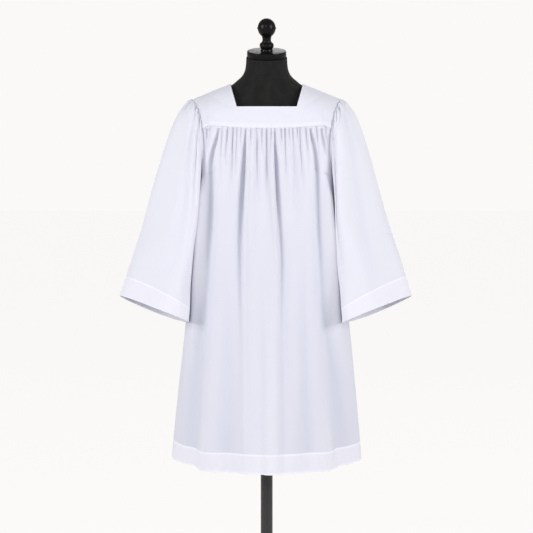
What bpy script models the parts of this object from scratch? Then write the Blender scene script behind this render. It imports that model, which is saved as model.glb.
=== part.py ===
"""A white surplice with a square yoke, worn by a plain black dress form on a pole and a round base.

Run with: blender --background --python part.py
Units are metres, +Z is up, the front of the garment faces -Y and the wearer's left is at +X. The origin is on
the floor, under the middle of the base. Every cloth piece is a wall that lies inside its outer face.
"""

from collections import namedtuple
from math import acos, asin, cos, exp, pi, radians, sin, tan

import bmesh
import bpy
from mathutils import Vector

# --- Driving dimensions -------------------------------------------------------------------------------------
SEAM_GAP = 0.0003            # left between pieces that are sewn together
PANEL_GAPS = 1.6             # a panel hangs this many gaps below its slanting yoke seam
SLEEVE_GAPS = 1.5            # and a sleeve starts this many gaps outside its armhole
CLOTH_WALL = 0.0015          # one thickness of cloth in this model
HEM_WALL = 0.0026            # the turned hem of sleeves and skirt
HEM_DEEP = 0.050             # how far the hem is turned up

SHOULDER_SLOPE = tan(radians(22.0))
NECK_TOP_X = 0.0950          # half the neck opening, on the shoulder
NECK_TOP_Z = 1.4640
NECK_LOW_X = 0.0765          # half the neck opening, at its lower edge
NECK_LOW_Z = {"front": 1.4015, "back": 1.4150}
CORNER_ROW_DROP = 0.0060      # the row of the neck's corners falls this far on its way to the armhole

YOKE_SEAM_Z = {"front": 1.3466, "back": 1.3300}
YOKE_SEAM_RISE = 0.0072      # the seam is higher towards the arms
YOKE_SEAM_DIP = 0.0090       # and dips again at the armhole
YOKE_HALF_WIDTH = 0.2000     # of the body's section at the yoke seam
YOKE_ROUNDNESS = 3.0

ARM_CENTRE_X, ARM_CENTRE_Z = 0.1875, 1.3190
ARM_HALF_X, ARM_HALF_Z = 0.0095, 0.1040
ARM_SCOOP_X = {"front": 0.0250, "back": 0.0190}
ARM_SCOOP_Z = 0.0100
UNDERARM_Z = ARM_CENTRE_Z - ARM_HALF_Z
UNDERARM_X = ARM_CENTRE_X - ARM_HALF_X

HEM_Z = 0.4730
SIDE_FLARE = 0.1022          # growth of the half width for each metre below the underarm
BODY_DEPTH_AT_YOKE = {"front": 0.1180, "back": 0.1090}
BODY_DEPTH_FLARE = {"front": 0.0990, "back": 0.0860}
UNDERARM_ROUNDNESS = 4.20
HEM_ROUNDNESS = 2.05

PLEAT_DEPTH = 0.0020         # of the gathers, just under the yoke seam
PLEAT_PUFF = 0.0030          # how far the gathered cloth stands out past the yoke
PLEAT_FADE_Z = 0.20          # the gathers die out this far below the seam
PLAIN_EDGE = (0.80, 0.97)     # folds fade out between these shares of the way to a panel's edge

FORM_RING_POINTS = 36
SHARP_ANGLE = radians(50.0)
NECK_CUT_TILT = radians(15.0)
CAP_TOP_Z = 1.5505
CAP_THICK = 0.0170
CAP_RADIUS = 0.0514
NECK_CUT_Z = CAP_TOP_Z - (CAP_THICK + SEAM_GAP) / cos(NECK_CUT_TILT)
POLE_RADIUS = 0.0160
BASE_RADIUS = 0.1900
BASE_THICK = 0.0140
ROUND_STEPS = 48
FINIAL_STEPS = 24

Station = namedtuple("Station", "outer inner front back")
Ring = namedtuple("Ring", "height half_width half_depth roundness tilt")

# The largest folds of the hanging cloth: troughs that run down the panels. Each row has the height, the
# distance from the middle, the trough's half width and its depth.
BODY_FOLDS = {
    "front": (
        ((1.335, -0.122, 0.008, 0.001), (1.258, -0.145, 0.012, 0.008), (1.126, -0.147, 0.013, 0.009),
         (0.974, -0.156, 0.014, 0.009), (0.750, -0.182, 0.019, 0.015), (HEM_Z, -0.209, 0.026, 0.026)),
        ((1.335, -0.048, 0.008, 0.001), (1.174, -0.063, 0.010, 0.005), (1.050, -0.068, 0.011, 0.005),
         (0.900, -0.068, 0.012, 0.003), (0.700, -0.069, 0.012, 0.000)),
        ((1.335, 0.019, 0.008, 0.001), (1.174, 0.026, 0.009, 0.006), (1.018, 0.039, 0.010, 0.006),
         (0.880, 0.042, 0.010, 0.005), (HEM_Z, 0.042, 0.010, 0.003)),
        ((1.335, 0.110, 0.008, 0.001), (1.240, 0.131, 0.012, 0.008), (1.096, 0.136, 0.012, 0.009),
         (0.915, 0.148, 0.014, 0.009), (0.700, 0.176, 0.020, 0.015), (HEM_Z, 0.207, 0.026, 0.024)),
    ),
    "back": (
        ((1.320, -0.105, 0.008, 0.001), (1.180, -0.127, 0.013, 0.008), (0.900, -0.152, 0.015, 0.010),
         (HEM_Z, -0.195, 0.024, 0.020)),
        ((1.320, -0.036, 0.008, 0.001), (1.120, -0.044, 0.011, 0.007), (0.800, -0.052, 0.012, 0.006),
         (HEM_Z, -0.055, 0.012, 0.004)),
        ((1.320, 0.040, 0.008, 0.001), (1.120, 0.049, 0.011, 0.005), (0.900, 0.056, 0.012, 0.004),
         (0.620, 0.058, 0.012, 0.000)),
        ((1.320, 0.112, 0.008, 0.001), (1.160, 0.133, 0.013, 0.008), (0.880, 0.158, 0.016, 0.011),
         (HEM_Z, 0.199, 0.024, 0.022)),
    ),
}

# The sleeve past its armhole, from the shoulder to the cuff: four points of each ring round the hollow.
SLEEVE_STATIONS = (
    Station((0.2132, 0.000, 1.4110), (0.1812, -0.004, 1.2080),
            (0.1700, -0.098, 1.3300), (0.1740, 0.094, 1.3280)),
    Station((0.2350, 0.000, 1.3820), (0.1850, -0.014, 1.1850),
            (0.1770, -0.116, 1.2980), (0.1890, 0.104, 1.2850)),
    Station((0.2625, -0.005, 1.3120), (0.1910, -0.030, 1.1400),
            (0.1850, -0.131, 1.2340), (0.2120, 0.106, 1.2120)),
    Station((0.2945, -0.016, 1.2070), (0.1985, -0.048, 1.0620),
            (0.1930, -0.143, 1.1480), (0.2390, 0.096, 1.1250)),
    Station((0.3225, -0.027, 1.1040), (0.2045, -0.056, 0.9780),
            (0.2080, -0.154, 1.0500), (0.2680, 0.082, 1.0200)),
    Station((0.3470, -0.034, 1.0300), (0.2085, -0.062, 0.9200),
            (0.2240, -0.163, 0.9760), (0.2850, 0.073, 0.9420)),
    Station((0.3650, -0.037, 0.9720), (0.2090, -0.066, 0.8820),
            (0.2320, -0.170, 0.9270), (0.2950, 0.067, 0.9010)),
    Station((0.3850, -0.040, 0.9105), (0.2100, -0.070, 0.8445),
            (0.2420, -0.178, 0.8770), (0.3050, 0.062, 0.8560)),
)
CUFF_BAND_STATION = 7.18     # where the turned hem of the cuff begins, counted along the rings
BAND_EDGE = 0.02             # and the row just before it, in the same count
FACING_STEP, FACING_TURN = 0.05, 0.02      # steps along and round a sleeve that tell which way it faces

# The sleeves' folds. Each row has the station, the place round the sleeve in degrees (0 outer, 90 front,
# 180 inner, 270 back), the half width in degrees and the depth.
SLEEVE_FOLDS = {
    "left": (
        ((0.6, 48.0, 8.0, 0.001), (2.0, 52.0, 8.0, 0.005), (4.0, 58.0, 8.0, 0.006),
         (8.0, 64.0, 8.0, 0.003)),
        ((1.0, 118.0, 9.0, 0.001), (2.5, 122.0, 9.0, 0.006), (4.0, 120.0, 9.0, 0.005),
         (6.5, 116.0, 9.0, 0.0)),
        ((1.0, 285.0, 9.0, 0.001), (3.0, 292.0, 9.0, 0.006), (6.0, 296.0, 9.0, 0.005),
         (8.0, 298.0, 9.0, 0.003)),
    ),
    "right": (
        ((0.6, 60.0, 9.0, 0.001), (2.0, 70.0, 9.0, 0.006), (4.0, 74.0, 9.0, 0.005), (6.5, 76.0, 9.0, 0.0)),
        ((0.6, 84.0, 8.0, 0.001), (2.0, 92.0, 8.0, 0.006), (4.0, 97.0, 8.0, 0.005),
         (8.0, 102.0, 8.0, 0.003)),
        ((1.0, 270.0, 9.0, 0.001), (3.0, 282.0, 9.0, 0.006), (6.0, 290.0, 9.0, 0.005),
         (8.0, 294.0, 9.0, 0.003)),
    ),
}

FORM_RINGS = (
    Ring(NECK_CUT_Z, 0.0535, 0.0535, 2.0, 1.00),
    Ring(1.5150, 0.0545, 0.0550, 2.0, 0.60),
    Ring(1.4980, 0.0575, 0.0580, 2.0, 0.25),
    Ring(1.4840, 0.0650, 0.0620, 2.0, 0.08),
    Ring(1.4720, 0.0780, 0.0670, 2.0, 0.0),
    Ring(1.4600, 0.0940, 0.0700, 1.8, 0.0),
    Ring(1.4450, 0.1270, 0.0740, 1.7, 0.0),
    Ring(1.4300, 0.1590, 0.0800, 1.7, 0.0),
    Ring(1.4150, 0.1770, 0.0880, 1.9, 0.0),
    Ring(1.3950, 0.1830, 0.0950, 2.1, 0.0),
    Ring(1.3500, 0.1770, 0.1010, 2.3, 0.0),
    Ring(1.2800, 0.1650, 0.1020, 2.3, 0.0),
    Ring(1.2000, 0.1530, 0.1000, 2.2, 0.0),
    Ring(1.1100, 0.1460, 0.1020, 2.2, 0.0),
    Ring(1.0200, 0.1440, 0.1000, 2.2, 0.0),
    Ring(0.9200, 0.1530, 0.1060, 2.3, 0.0),
    Ring(0.8200, 0.1640, 0.1140, 2.3, 0.0),
    Ring(0.7600, 0.1660, 0.1150, 2.3, 0.0),
    Ring(0.7400, 0.1600, 0.1090, 2.3, 0.0),
    Ring(0.7350, 0.1480, 0.0980, 2.3, 0.0),
)


# --- The cloth's surface ------------------------------------------------------------------------------------
def smooth(low, high, value):
    """0 below low, 1 above high, and a soft step between."""
    part = min(1.0, max(0.0, (value - low) / (high - low)))
    return part * part * (3.0 - 2.0 * part)


def fold_depth(fold, place, across):
    """How far one fold takes the cloth inwards at a place along it and a place across it."""
    for row, after in zip(fold, fold[1:]):
        part = (place - row[0]) / (after[0] - row[0])
        if 0.0 <= part <= 1.0:
            middle, half_width, depth = (here + (there - here) * part for here, there in zip(row[1:], after[1:]))
            return depth * exp(-(((across - middle) / half_width) ** 2))
    return 0.0


def body_half_width(z):
    if z <= UNDERARM_Z:
        return UNDERARM_X + SIDE_FLARE * (UNDERARM_Z - z)
    rise = (z - UNDERARM_Z) / (YOKE_SEAM_Z["front"] - UNDERARM_Z)
    return UNDERARM_X + (YOKE_HALF_WIDTH - UNDERARM_X) * min(rise, 1.0)


def body_depth(side, z):
    return BODY_DEPTH_AT_YOKE[side] + BODY_DEPTH_FLARE[side] * max(0.0, YOKE_SEAM_Z[side] - z)


def body_roundness(side, z):
    if z > UNDERARM_Z:
        part = smooth(UNDERARM_Z, YOKE_SEAM_Z[side], z)
        return UNDERARM_ROUNDNESS + (YOKE_ROUNDNESS - UNDERARM_ROUNDNESS) * part
    return HEM_ROUNDNESS + (UNDERARM_ROUNDNESS - HEM_ROUNDNESS) * (z - HEM_Z) / (UNDERARM_Z - HEM_Z)


def seam_height(side, x):
    """The yoke seam: a shallow hollow curve that dips at its ends."""
    rise = YOKE_SEAM_RISE * min(1.0, abs(x) / 0.15) ** 2
    return YOKE_SEAM_Z[side] + rise - YOKE_SEAM_DIP * smooth(0.145, 0.168, abs(x))


def shoulder_height(x):
    return NECK_TOP_Z - (abs(x) - NECK_TOP_X) * SHOULDER_SLOPE


def armhole_at(side, angle):
    """x and z of the armhole seam: angle 0 on the shoulder, pi at the underarm."""
    x = ARM_CENTRE_X + ARM_HALF_X * cos(angle) - ARM_SCOOP_X[side] * sin(angle)
    z = ARM_CENTRE_Z + ARM_HALF_Z * cos(angle) + ARM_SCOOP_Z * sin(angle) ** 2
    return x, z


def armhole_angle(z):
    """The angle at which the armhole passes a height: armhole_at solved for its cosine."""
    rest = z - ARM_CENTRE_Z - ARM_SCOOP_Z
    cosine = (ARM_HALF_Z - (ARM_HALF_Z ** 2 - 4.0 * ARM_SCOOP_Z * rest) ** 0.5) / (2.0 * ARM_SCOOP_Z)
    return acos(min(1.0, max(-1.0, cosine)))


def outward(side):
    return -1.0 if side == "front" else 1.0


def yoke_point(side, x, z):
    """A point of the cloth over the shoulder and chest, at or above the yoke seam."""
    seam = seam_height(side, x)
    up = min(1.0, max(0.0, (z - seam) / (shoulder_height(x) - seam)))
    width = (abs(x) / YOKE_HALF_WIDTH) ** YOKE_ROUNDNESS
    depth = BODY_DEPTH_AT_YOKE[side] * (1.0 - width) ** (1.0 / YOKE_ROUNDNESS)
    return Vector((x, outward(side) * depth * (1.0 - up * up) ** 0.5, z))


def body_point(side, x_sign_turn, z, inwards=0.0):
    """A point of the hanging cloth: the turn runs from 0 at the middle to a quarter turn at the side."""
    half_width, depth, power = body_half_width(z), body_depth(side, z), 2.0 / body_roundness(side, z)
    turn = abs(x_sign_turn)
    x = half_width * sin(turn) ** power
    y = depth * max(0.0, cos(turn)) ** power
    face = Vector((x / half_width ** 2, y / depth ** 2, 0.0)).normalized()
    x, y = x - face.x * inwards, y - face.y * inwards
    return Vector((x if x_sign_turn >= 0.0 else -x, outward(side) * y, z))


def section_turn(side, x, z):
    """The turn of the body's section at which it is x away from the middle."""
    turn = asin(min(1.0, (abs(x) / body_half_width(z)) ** (body_roundness(side, z) / 2.0)))
    return turn if x >= 0.0 else -turn


def armhole_turn(side, z):
    """How far round the section the panel reaches at this height."""
    if z <= UNDERARM_Z:
        return pi / 2.0
    return section_turn(side, armhole_at(side, armhole_angle(z))[0], z)


def armhole_point(side, angle):
    """The armhole seam in space, shared by the yoke, the panel and the sleeve."""
    x, z = armhole_at(side, angle)
    if z >= seam_height(side, x):
        return yoke_point(side, x, z)
    return body_point(side, armhole_turn(side, z), z)


# --- Building tools -----------------------------------------------------------------------------------------
def clear_scene():
    for thing in list(bpy.data.objects):
        bpy.data.objects.remove(thing, do_unlink=True)


def new_material(name, colour, roughness, metallic=0.0):
    material = bpy.data.materials.new(name)
    material.use_nodes = True
    shader = material.node_tree.nodes["Principled BSDF"]
    shader.inputs["Base Color"].default_value = (*colour, 1.0)
    shader.inputs["Roughness"].default_value = roughness
    shader.inputs["Metallic"].default_value = metallic
    material.diffuse_color = (*colour, 1.0)
    return material


def add_object(name, mesh, material, collection):
    thing = bpy.data.objects.new(name, mesh)
    mesh.materials.append(material)
    collection.objects.link(thing)
    return thing


def sheet_mesh(name, rows, closed=False):
    """Faces between rows of points, where None marks the part of a row that is cut away."""
    build = bmesh.new()
    grid = [[build.verts.new(point) if point is not None else None for point in row] for row in rows]
    for upper, lower in zip(grid, grid[1:]):
        columns = len(upper) if closed else len(upper) - 1
        for here in range(columns):
            after = (here + 1) % len(upper)
            corners = (upper[here], lower[here], lower[after], upper[after])
            if all(corners):
                build.faces.new(corners)
    mesh = bpy.data.meshes.new(name)
    build.to_mesh(mesh)
    build.free()
    return mesh


def add_cloth(name, rows, hem_rows, material, collection, closed=False, turned=False):
    """A wall of cloth inside its outer face. The last hem_rows rows are the thicker, turned hem."""
    mesh = sheet_mesh(name, rows, closed)
    if turned:
        mesh.flip_normals()
    thing = add_object(name, mesh, material, collection)
    group = thing.vertex_groups.new(name="wall")
    plain_rows = len(rows) - hem_rows
    plain = sum(1 for row in rows[:plain_rows] for point in row if point is not None)
    group.add(list(range(plain)), CLOTH_WALL / HEM_WALL, "REPLACE")
    group.add(list(range(plain, len(mesh.vertices))), 1.0, "REPLACE")
    wall = thing.modifiers.new("wall", "SOLIDIFY")
    wall.thickness = HEM_WALL
    wall.offset = -1.0
    wall.vertex_group = group.name
    mesh.shade_smooth()
    return thing


def add_turned(name, profile, material, collection, steps=ROUND_STEPS):
    """A turned piece. The profile of (radius, height) pairs runs down the outside, top to bottom."""
    build = bmesh.new()
    verts = [build.verts.new((radius, 0.0, height)) for radius, height in profile]
    for upper, lower in zip(verts, verts[1:]):
        build.edges.new((upper, lower))
    mesh = bpy.data.meshes.new(name)
    build.to_mesh(mesh)
    build.free()
    thing = add_object(name, mesh, material, collection)
    screw = thing.modifiers.new("turn", "SCREW")
    screw.steps = steps
    screw.render_steps = steps
    screw.use_merge_vertices = True
    screw.merge_threshold = 0.0001
    screw.use_smooth_shade = True
    return thing


# --- The surplice -------------------------------------------------------------------------------------------
STRAP_ROWS = (0.0, 0.05, 0.18, 0.36, 0.56, 0.78, 1.0)     # share of the way down the square neck
CHEST_ROWS = (0.35, 0.70, 1.0)                           # share of the way from the neck to the yoke seam
ARM_ROWS = (0.0, 0.10, 0.24, 0.42, 0.62, 0.82, 1.0)       # and from the yoke seam to the underarm
SKIRT_ROWS = (0.10, 0.26, 0.44, 0.63, 0.82)   # share of the way from the underarm to the hem
HEM_EDGE = 0.003              # the row just above the turned hem, as a share of the same way
STRAP_COLUMNS = 6
MIDDLE_COLUMNS = 8


def seam_angle(side):
    """The angle of the armhole where the yoke seam reaches it, found by halving."""
    low, high = 0.5, 2.5
    for _ in range(40):
        middle = (low + high) / 2.0
        x, z = armhole_at(side, middle)
        if z > seam_height(side, x):
            low = middle
        else:
            high = middle
    return low


def corner_angle(side):
    """The angle of the armhole level with the lower corners of the neck."""
    return armhole_angle(NECK_LOW_Z[side] - CORNER_ROW_DROP)


def edge_angles(side):
    """The armhole's angles at the rows of the yoke and then of the panel, from shoulder to underarm."""
    corner, seam = corner_angle(side), seam_angle(side)
    angles = [corner * share for share in STRAP_ROWS]
    angles += [corner + (seam - corner) * share for share in CHEST_ROWS]
    seam_z = armhole_at(side, seam)[1]
    angles += [armhole_angle(seam_z + (UNDERARM_Z - seam_z) * share) for share in ARM_ROWS[1:]]
    return angles


def yoke_row(side, neck_x, neck_z, arm_angle, with_middle):
    """One row from armhole to armhole. Above the neck's lower edge it has no middle."""
    arm_x, arm_z = armhole_at(side, arm_angle)
    at_seam = abs(arm_angle - seam_angle(side)) < 1e-9
    half = []
    for column in range(STRAP_COLUMNS + 1):
        part = column / STRAP_COLUMNS
        x = neck_x + (arm_x - neck_x) * part
        z = seam_height(side, x) if at_seam else neck_z + (arm_z - neck_z) * part
        half.append(yoke_point(side, x, z))
    left = [Vector((-point.x, point.y, point.z)) for point in reversed(half)]
    middle = [None] * (MIDDLE_COLUMNS - 1)
    if with_middle:
        corner_seam = seam_height(side, neck_x)
        up = (neck_z - corner_seam) / (NECK_LOW_Z[side] - corner_seam)
        for column in range(1, MIDDLE_COLUMNS):
            x = neck_x * (2.0 * column / MIDDLE_COLUMNS - 1.0)
            seam = seam_height(side, x)
            middle[column - 1] = yoke_point(side, x, seam + (NECK_LOW_Z[side] - seam) * up)
    return left + middle + half


def build_yoke(side, material, collection):
    """Half of the yoke, from the shoulder seam to the gathers, round three sides of the square neck."""
    neck_drop = NECK_TOP_Z - NECK_LOW_Z[side]
    seam_z = seam_height(side, NECK_LOW_X)
    corner, seam = corner_angle(side), seam_angle(side)
    rows = []
    for share in STRAP_ROWS:
        ease = share * share * (1.5 - 0.5 * share)
        neck_x = NECK_TOP_X + (NECK_LOW_X - NECK_TOP_X) * ease
        rows.append(yoke_row(side, neck_x, NECK_TOP_Z - neck_drop * ease, corner * share, share == 1.0))
    for share in CHEST_ROWS:
        neck_z = NECK_LOW_Z[side] + (seam_z - NECK_LOW_Z[side]) * share
        rows.append(yoke_row(side, NECK_LOW_X, neck_z, corner + (seam - corner) * share, True))
    shoulder_shift = Vector((0.0, outward(side) * SEAM_GAP, 0.0))
    rows[0] = [point + shoulder_shift if point is not None else None for point in rows[0]]
    add_cloth(side + "_yoke", rows, 0, material, collection, turned=side == "back")


def build_panel(side, material, collection):
    """The gathered front or back, from the yoke seam past the armholes to the hem."""
    seam_row = yoke_row(side, NECK_LOW_X, seam_height(side, NECK_LOW_X), seam_angle(side), True)
    top = [seam_row[0]]
    for here, after in zip(seam_row, seam_row[1:]):
        top += [(here + after) / 2.0, after]
    hem_top = 1.0 - HEM_DEEP / (UNDERARM_Z - HEM_Z)
    rows = []
    for share in (*ARM_ROWS, *(1.0 + below for below in (*SKIRT_ROWS, hem_top - HEM_EDGE, hem_top, 1.0))):
        rows.append([panel_point(side, point, share, column) for column, point in enumerate(top)])
    add_cloth(side + "_panel", rows, 2, material, collection, turned=side == "back")


def panel_point(side, seam_point, share, column):
    """A point of a panel, under a point of the yoke seam: share 1 is the underarm's height and 2 the hem."""
    top_z = seam_point.z - PANEL_GAPS * SEAM_GAP
    if share == 0.0:
        return Vector((seam_point.x, seam_point.y, top_z))
    z = top_z + (UNDERARM_Z - top_z) * share
    if share > 1.0:
        z = UNDERARM_Z + (HEM_Z - UNDERARM_Z) * (share - 1.0)
    edge_x, edge_z = armhole_at(side, seam_angle(side))
    across = section_turn(side, seam_point.x, edge_z) / section_turn(side, edge_x, edge_z)
    edge_turn = armhole_turn(side, z)
    if share >= 1.0:
        edge_turn -= SEAM_GAP / body_depth(side, z)
    turn = across * edge_turn
    plain = body_point(side, turn, z)
    below_seam = top_z - z
    free = 1.0 - smooth(*PLAIN_EDGE, abs(across))
    pleat = PLEAT_DEPTH * (1.0 if column % 2 else -1.0)
    pleat *= smooth(-0.004, 0.010, below_seam) * (1.0 - smooth(0.05, PLEAT_FADE_Z, below_seam))
    puff = PLEAT_PUFF * smooth(0.0, 0.012, below_seam) * (1.0 - smooth(0.03, 0.14, below_seam))
    inwards = sum(fold_depth(fold, z, plain.x) for fold in BODY_FOLDS[side])
    return body_point(side, turn, z, (inwards + pleat - puff) * free)


SLEEVE_CLEARANCE = 0.006      # of the hanging sleeve from the body it lies against
SLEEVE_REACH = {"left": 0.970, "right": 1.0}       # the two sleeves hang a little differently
SLEEVE_HEAD_RISE = 0.003      # the gathers lift the sleeve's head beside the seam
SLEEVE_CORNER = 0.13          # the sleeve is squarer where its front turns in towards the body
SLEEVE_ROWS = (0.0, 0.35, 0.7, 1.0, 1.5, 2.1, 2.8, 3.5, 4.2, 5.0, 5.7, 6.4)


def smooth_track(points, place):
    """A smooth curve through the stations' points (Catmull-Rom), with the place counted in stations."""
    last = len(points) - 1
    first = min(int(place), last - 1)
    part = place - first
    before, here = points[max(first - 1, 0)], points[first]
    after, beyond = points[first + 1], points[min(first + 2, last)]
    in_slope, out_slope = (after - before) / 2.0, (beyond - here) / 2.0
    square, cube = part * part, part * part * part
    return (here * (2 * cube - 3 * square + 1) + in_slope * (cube - 2 * square + part)
            + after * (3 * square - 2 * cube) + out_slope * (cube - square))


def armhole_ring_point(angle):
    """The armhole seam by the sleeve's own angle: 0 on the shoulder, a quarter turn at the front."""
    if angle <= pi:
        return armhole_point("front", angle)
    return armhole_point("back", 2.0 * pi - angle)


def sleeve_point(place, angle):
    """A point of the plain sleeve at a place from 0, the armhole, to the last station, the cuff."""
    if place <= 0.0:
        return armhole_ring_point(angle)
    tracks = [[Vector(getattr(station, name)) for station in SLEEVE_STATIONS] for name in Station._fields]
    if place < 1.0:
        nearest = ring_of([track[0] for track in tracks], angle)
        rise = SLEEVE_HEAD_RISE * 4.0 * place * (1.0 - place) * smooth(-0.2, 0.6, cos(angle))
        return armhole_ring_point(angle).lerp(nearest, place) + Vector((0.0, 0.0, rise))
    return ring_of([smooth_track(track, place - 1.0) for track in tracks], angle)


def ring_of(points, angle):
    """A smooth ring through its outer, front, inner and back points."""
    outer, inner, front, back = points
    centre = (outer + inner + front + back) / 4.0
    lopsided = (outer + inner - front - back) / 4.0
    squarer = SLEEVE_CORNER * sin(2.0 * angle) ** 2 if pi / 2.0 < angle < pi else 0.0
    return (centre + (outer - inner) / 2.0 * cos(angle) + (front - back) / 2.0 * sin(angle)
            + lopsided * cos(2.0 * angle) + squarer * (front + inner - 2.0 * centre))


def clear_of_body(point, place):
    """The point moved outwards where it would touch the body's side."""
    side = "front" if point.y < 0.0 else "back"
    across = abs(point.y) / body_depth(side, point.z)
    if across >= 1.0:
        return point
    power = body_roundness(side, point.z)
    skin = body_half_width(point.z) * (1.0 - across ** power) ** (1.0 / power)
    clearance = SEAM_GAP * SLEEVE_GAPS + SLEEVE_CLEARANCE * smooth(0.0, 1.0, place)
    return Vector((max(point.x, skin + clearance), point.y, point.z))


def build_sleeve(wearer_side, material, collection):
    """A wide bell sleeve, open at the armhole and at the cuff."""
    angles = edge_angles("front")
    angles += [2.0 * pi - angle for angle in reversed(edge_angles("back")[1:-1])]
    places = (*SLEEVE_ROWS, CUFF_BAND_STATION - BAND_EDGE, CUFF_BAND_STATION, float(len(SLEEVE_STATIONS)))
    mirror = 1.0 if wearer_side == "left" else -1.0
    rows = []
    for place in places:
        row = []
        for step, angle in enumerate(angles):
            point = sleeve_point(place, angle)
            after = sleeve_point(place, angle + FACING_TURN) - sleeve_point(place, angle - FACING_TURN)
            if place > 0.0:
                down = sleeve_point(min(place + FACING_STEP, places[-1]), angle)
                down -= sleeve_point(place - FACING_STEP, angle)
                face = after.cross(down).normalized()
                deep = sum(fold_depth(fold, place, angle * 180.0 / pi) for fold in SLEEVE_FOLDS[wearer_side])
                gather = PLEAT_DEPTH * (1.0 if step % 2 else -1.0) * sleeve_gather(place, angle)
                point = point - face * (deep + gather)
                point.x = ARM_CENTRE_X + (point.x - ARM_CENTRE_X) * SLEEVE_REACH[wearer_side]
                point = clear_of_body(point, place)
            else:
                point = point + Vector((SEAM_GAP * SLEEVE_GAPS, 0.0, 0.0))
            row.append(Vector((mirror * point.x, point.y, point.z)))
        rows.append(row)
    add_cloth(wearer_side + "_sleeve", rows, 2, material, collection, closed=True, turned=mirror > 0.0)


def sleeve_gather(place, angle):
    """The sleeve head is gathered over the shoulder and plain under the arm."""
    return smooth(0.0, 0.5, place) * (1.0 - smooth(1.0, 3.0, place)) * smooth(-0.2, 0.5, cos(angle))


# --- The dress form -----------------------------------------------------------------------------------------
def build_torso(material, collection):
    """A smooth torso with a neck that is cut off at a slant, as a loft through level rings."""
    build = bmesh.new()
    rings = []
    for ring in FORM_RINGS:
        verts = []
        for step in range(FORM_RING_POINTS):
            angle = 2.0 * pi * step / FORM_RING_POINTS
            power = 2.0 / ring.roundness
            x = ring.half_width * abs(cos(angle)) ** power * (1.0 if cos(angle) >= 0.0 else -1.0)
            y = ring.half_depth * abs(sin(angle)) ** power * (1.0 if sin(angle) >= 0.0 else -1.0)
            verts.append(build.verts.new((x, y, ring.height + y * tan(NECK_CUT_TILT) * ring.tilt)))
        rings.append(verts)
    for upper, lower in zip(rings, rings[1:]):
        for here in range(FORM_RING_POINTS):
            after = (here + 1) % FORM_RING_POINTS
            build.faces.new((upper[here], lower[here], lower[after], upper[after]))
    build.faces.new(rings[0])
    build.faces.new(list(reversed(rings[-1])))
    mesh = bpy.data.meshes.new("form_torso")
    build.to_mesh(mesh)
    build.free()
    mesh.shade_smooth()
    mesh.set_sharp_from_angle(angle=SHARP_ANGLE)
    add_object("form_torso", mesh, material, collection)


def build_neck_fittings(gloss, collection):
    """The cap and the finial share one axis, square to the slanted cut of the neck."""
    edge = 0.003
    cap = add_turned("neck_cap", ((0.0, 0.0), (CAP_RADIUS - edge, 0.0), (CAP_RADIUS, -edge),
                                  (CAP_RADIUS, edge - CAP_THICK), (CAP_RADIUS - edge, -CAP_THICK),
                                  (0.0, -CAP_THICK)), gloss, collection)
    finial = add_turned("finial", finial_profile(), gloss, collection, steps=FINIAL_STEPS)
    up = Vector((0.0, -sin(NECK_CUT_TILT), cos(NECK_CUT_TILT)))
    cap.rotation_euler.x = NECK_CUT_TILT
    cap.location = Vector((0.0, 0.0, CAP_TOP_Z))
    finial.rotation_euler.x = NECK_CUT_TILT
    finial.location = cap.location + up * SEAM_GAP


def finial_profile():
    """A ball with a narrow ridge round its middle, on a waist, a bead and a foot."""
    ball_radius, ball_z, ball_half_height = 0.0236, 0.0595, 0.0250
    waist_radius, waist_z = 0.0112, 0.0300
    bead_radius, bead_z, bead_half = 0.0186, 0.0140, 0.0062
    points = [(0.0, ball_z + ball_half_height)]
    points += [(ball_radius * sin(turn), ball_z + ball_half_height * cos(turn))
               for turn in (radians(step) for step in (14, 28, 42, 56, 70, 82))]
    points += [(ball_radius + 0.0011, ball_z + 0.0016), (ball_radius + 0.0011, ball_z - 0.0016)]
    points += [(ball_radius * sin(turn), ball_z + ball_half_height * cos(turn))
               for turn in (radians(step) for step in (98, 112, 126, 140))]
    points += [(waist_radius + 0.0008, waist_z + 0.0056), (waist_radius, waist_z)]
    points += [(waist_radius, waist_z - 0.004)]
    points += [(waist_radius + 0.0012, waist_z - 0.0075), (bead_radius - 0.0022, bead_z + bead_half)]
    points += [(bead_radius, bead_z + 0.0022), (bead_radius, bead_z - 0.0022)]
    points += [(bead_radius - 0.0022, bead_z - bead_half), (0.0150, 0.0040), (0.0165, 0.0), (0.0, 0.0)]
    return tuple(points)


def build_stand(steel, collection):
    """A round pole from the torso's underside into a low turned base."""
    boss_radius, boss_height, edge = 0.030, 0.030, 0.003
    top = FORM_RINGS[-1].height - SEAM_GAP
    foot = BASE_THICK + boss_height + SEAM_GAP
    pole = ((0.0, top), (POLE_RADIUS, top), (POLE_RADIUS, foot), (0.0, foot))
    add_turned("stand_pole", pole, steel, collection)
    add_turned("stand_base", (
        (0.0, BASE_THICK + boss_height), (boss_radius - edge, BASE_THICK + boss_height),
        (boss_radius, BASE_THICK + boss_height - edge), (boss_radius + 0.002, BASE_THICK + 0.006),
        (boss_radius + 0.010, BASE_THICK + 0.0015), (BASE_RADIUS - 0.006, BASE_THICK - 0.004),
        (BASE_RADIUS, BASE_THICK - 0.008), (BASE_RADIUS, 0.0), (0.0, 0.0)), steel, collection)


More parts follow.
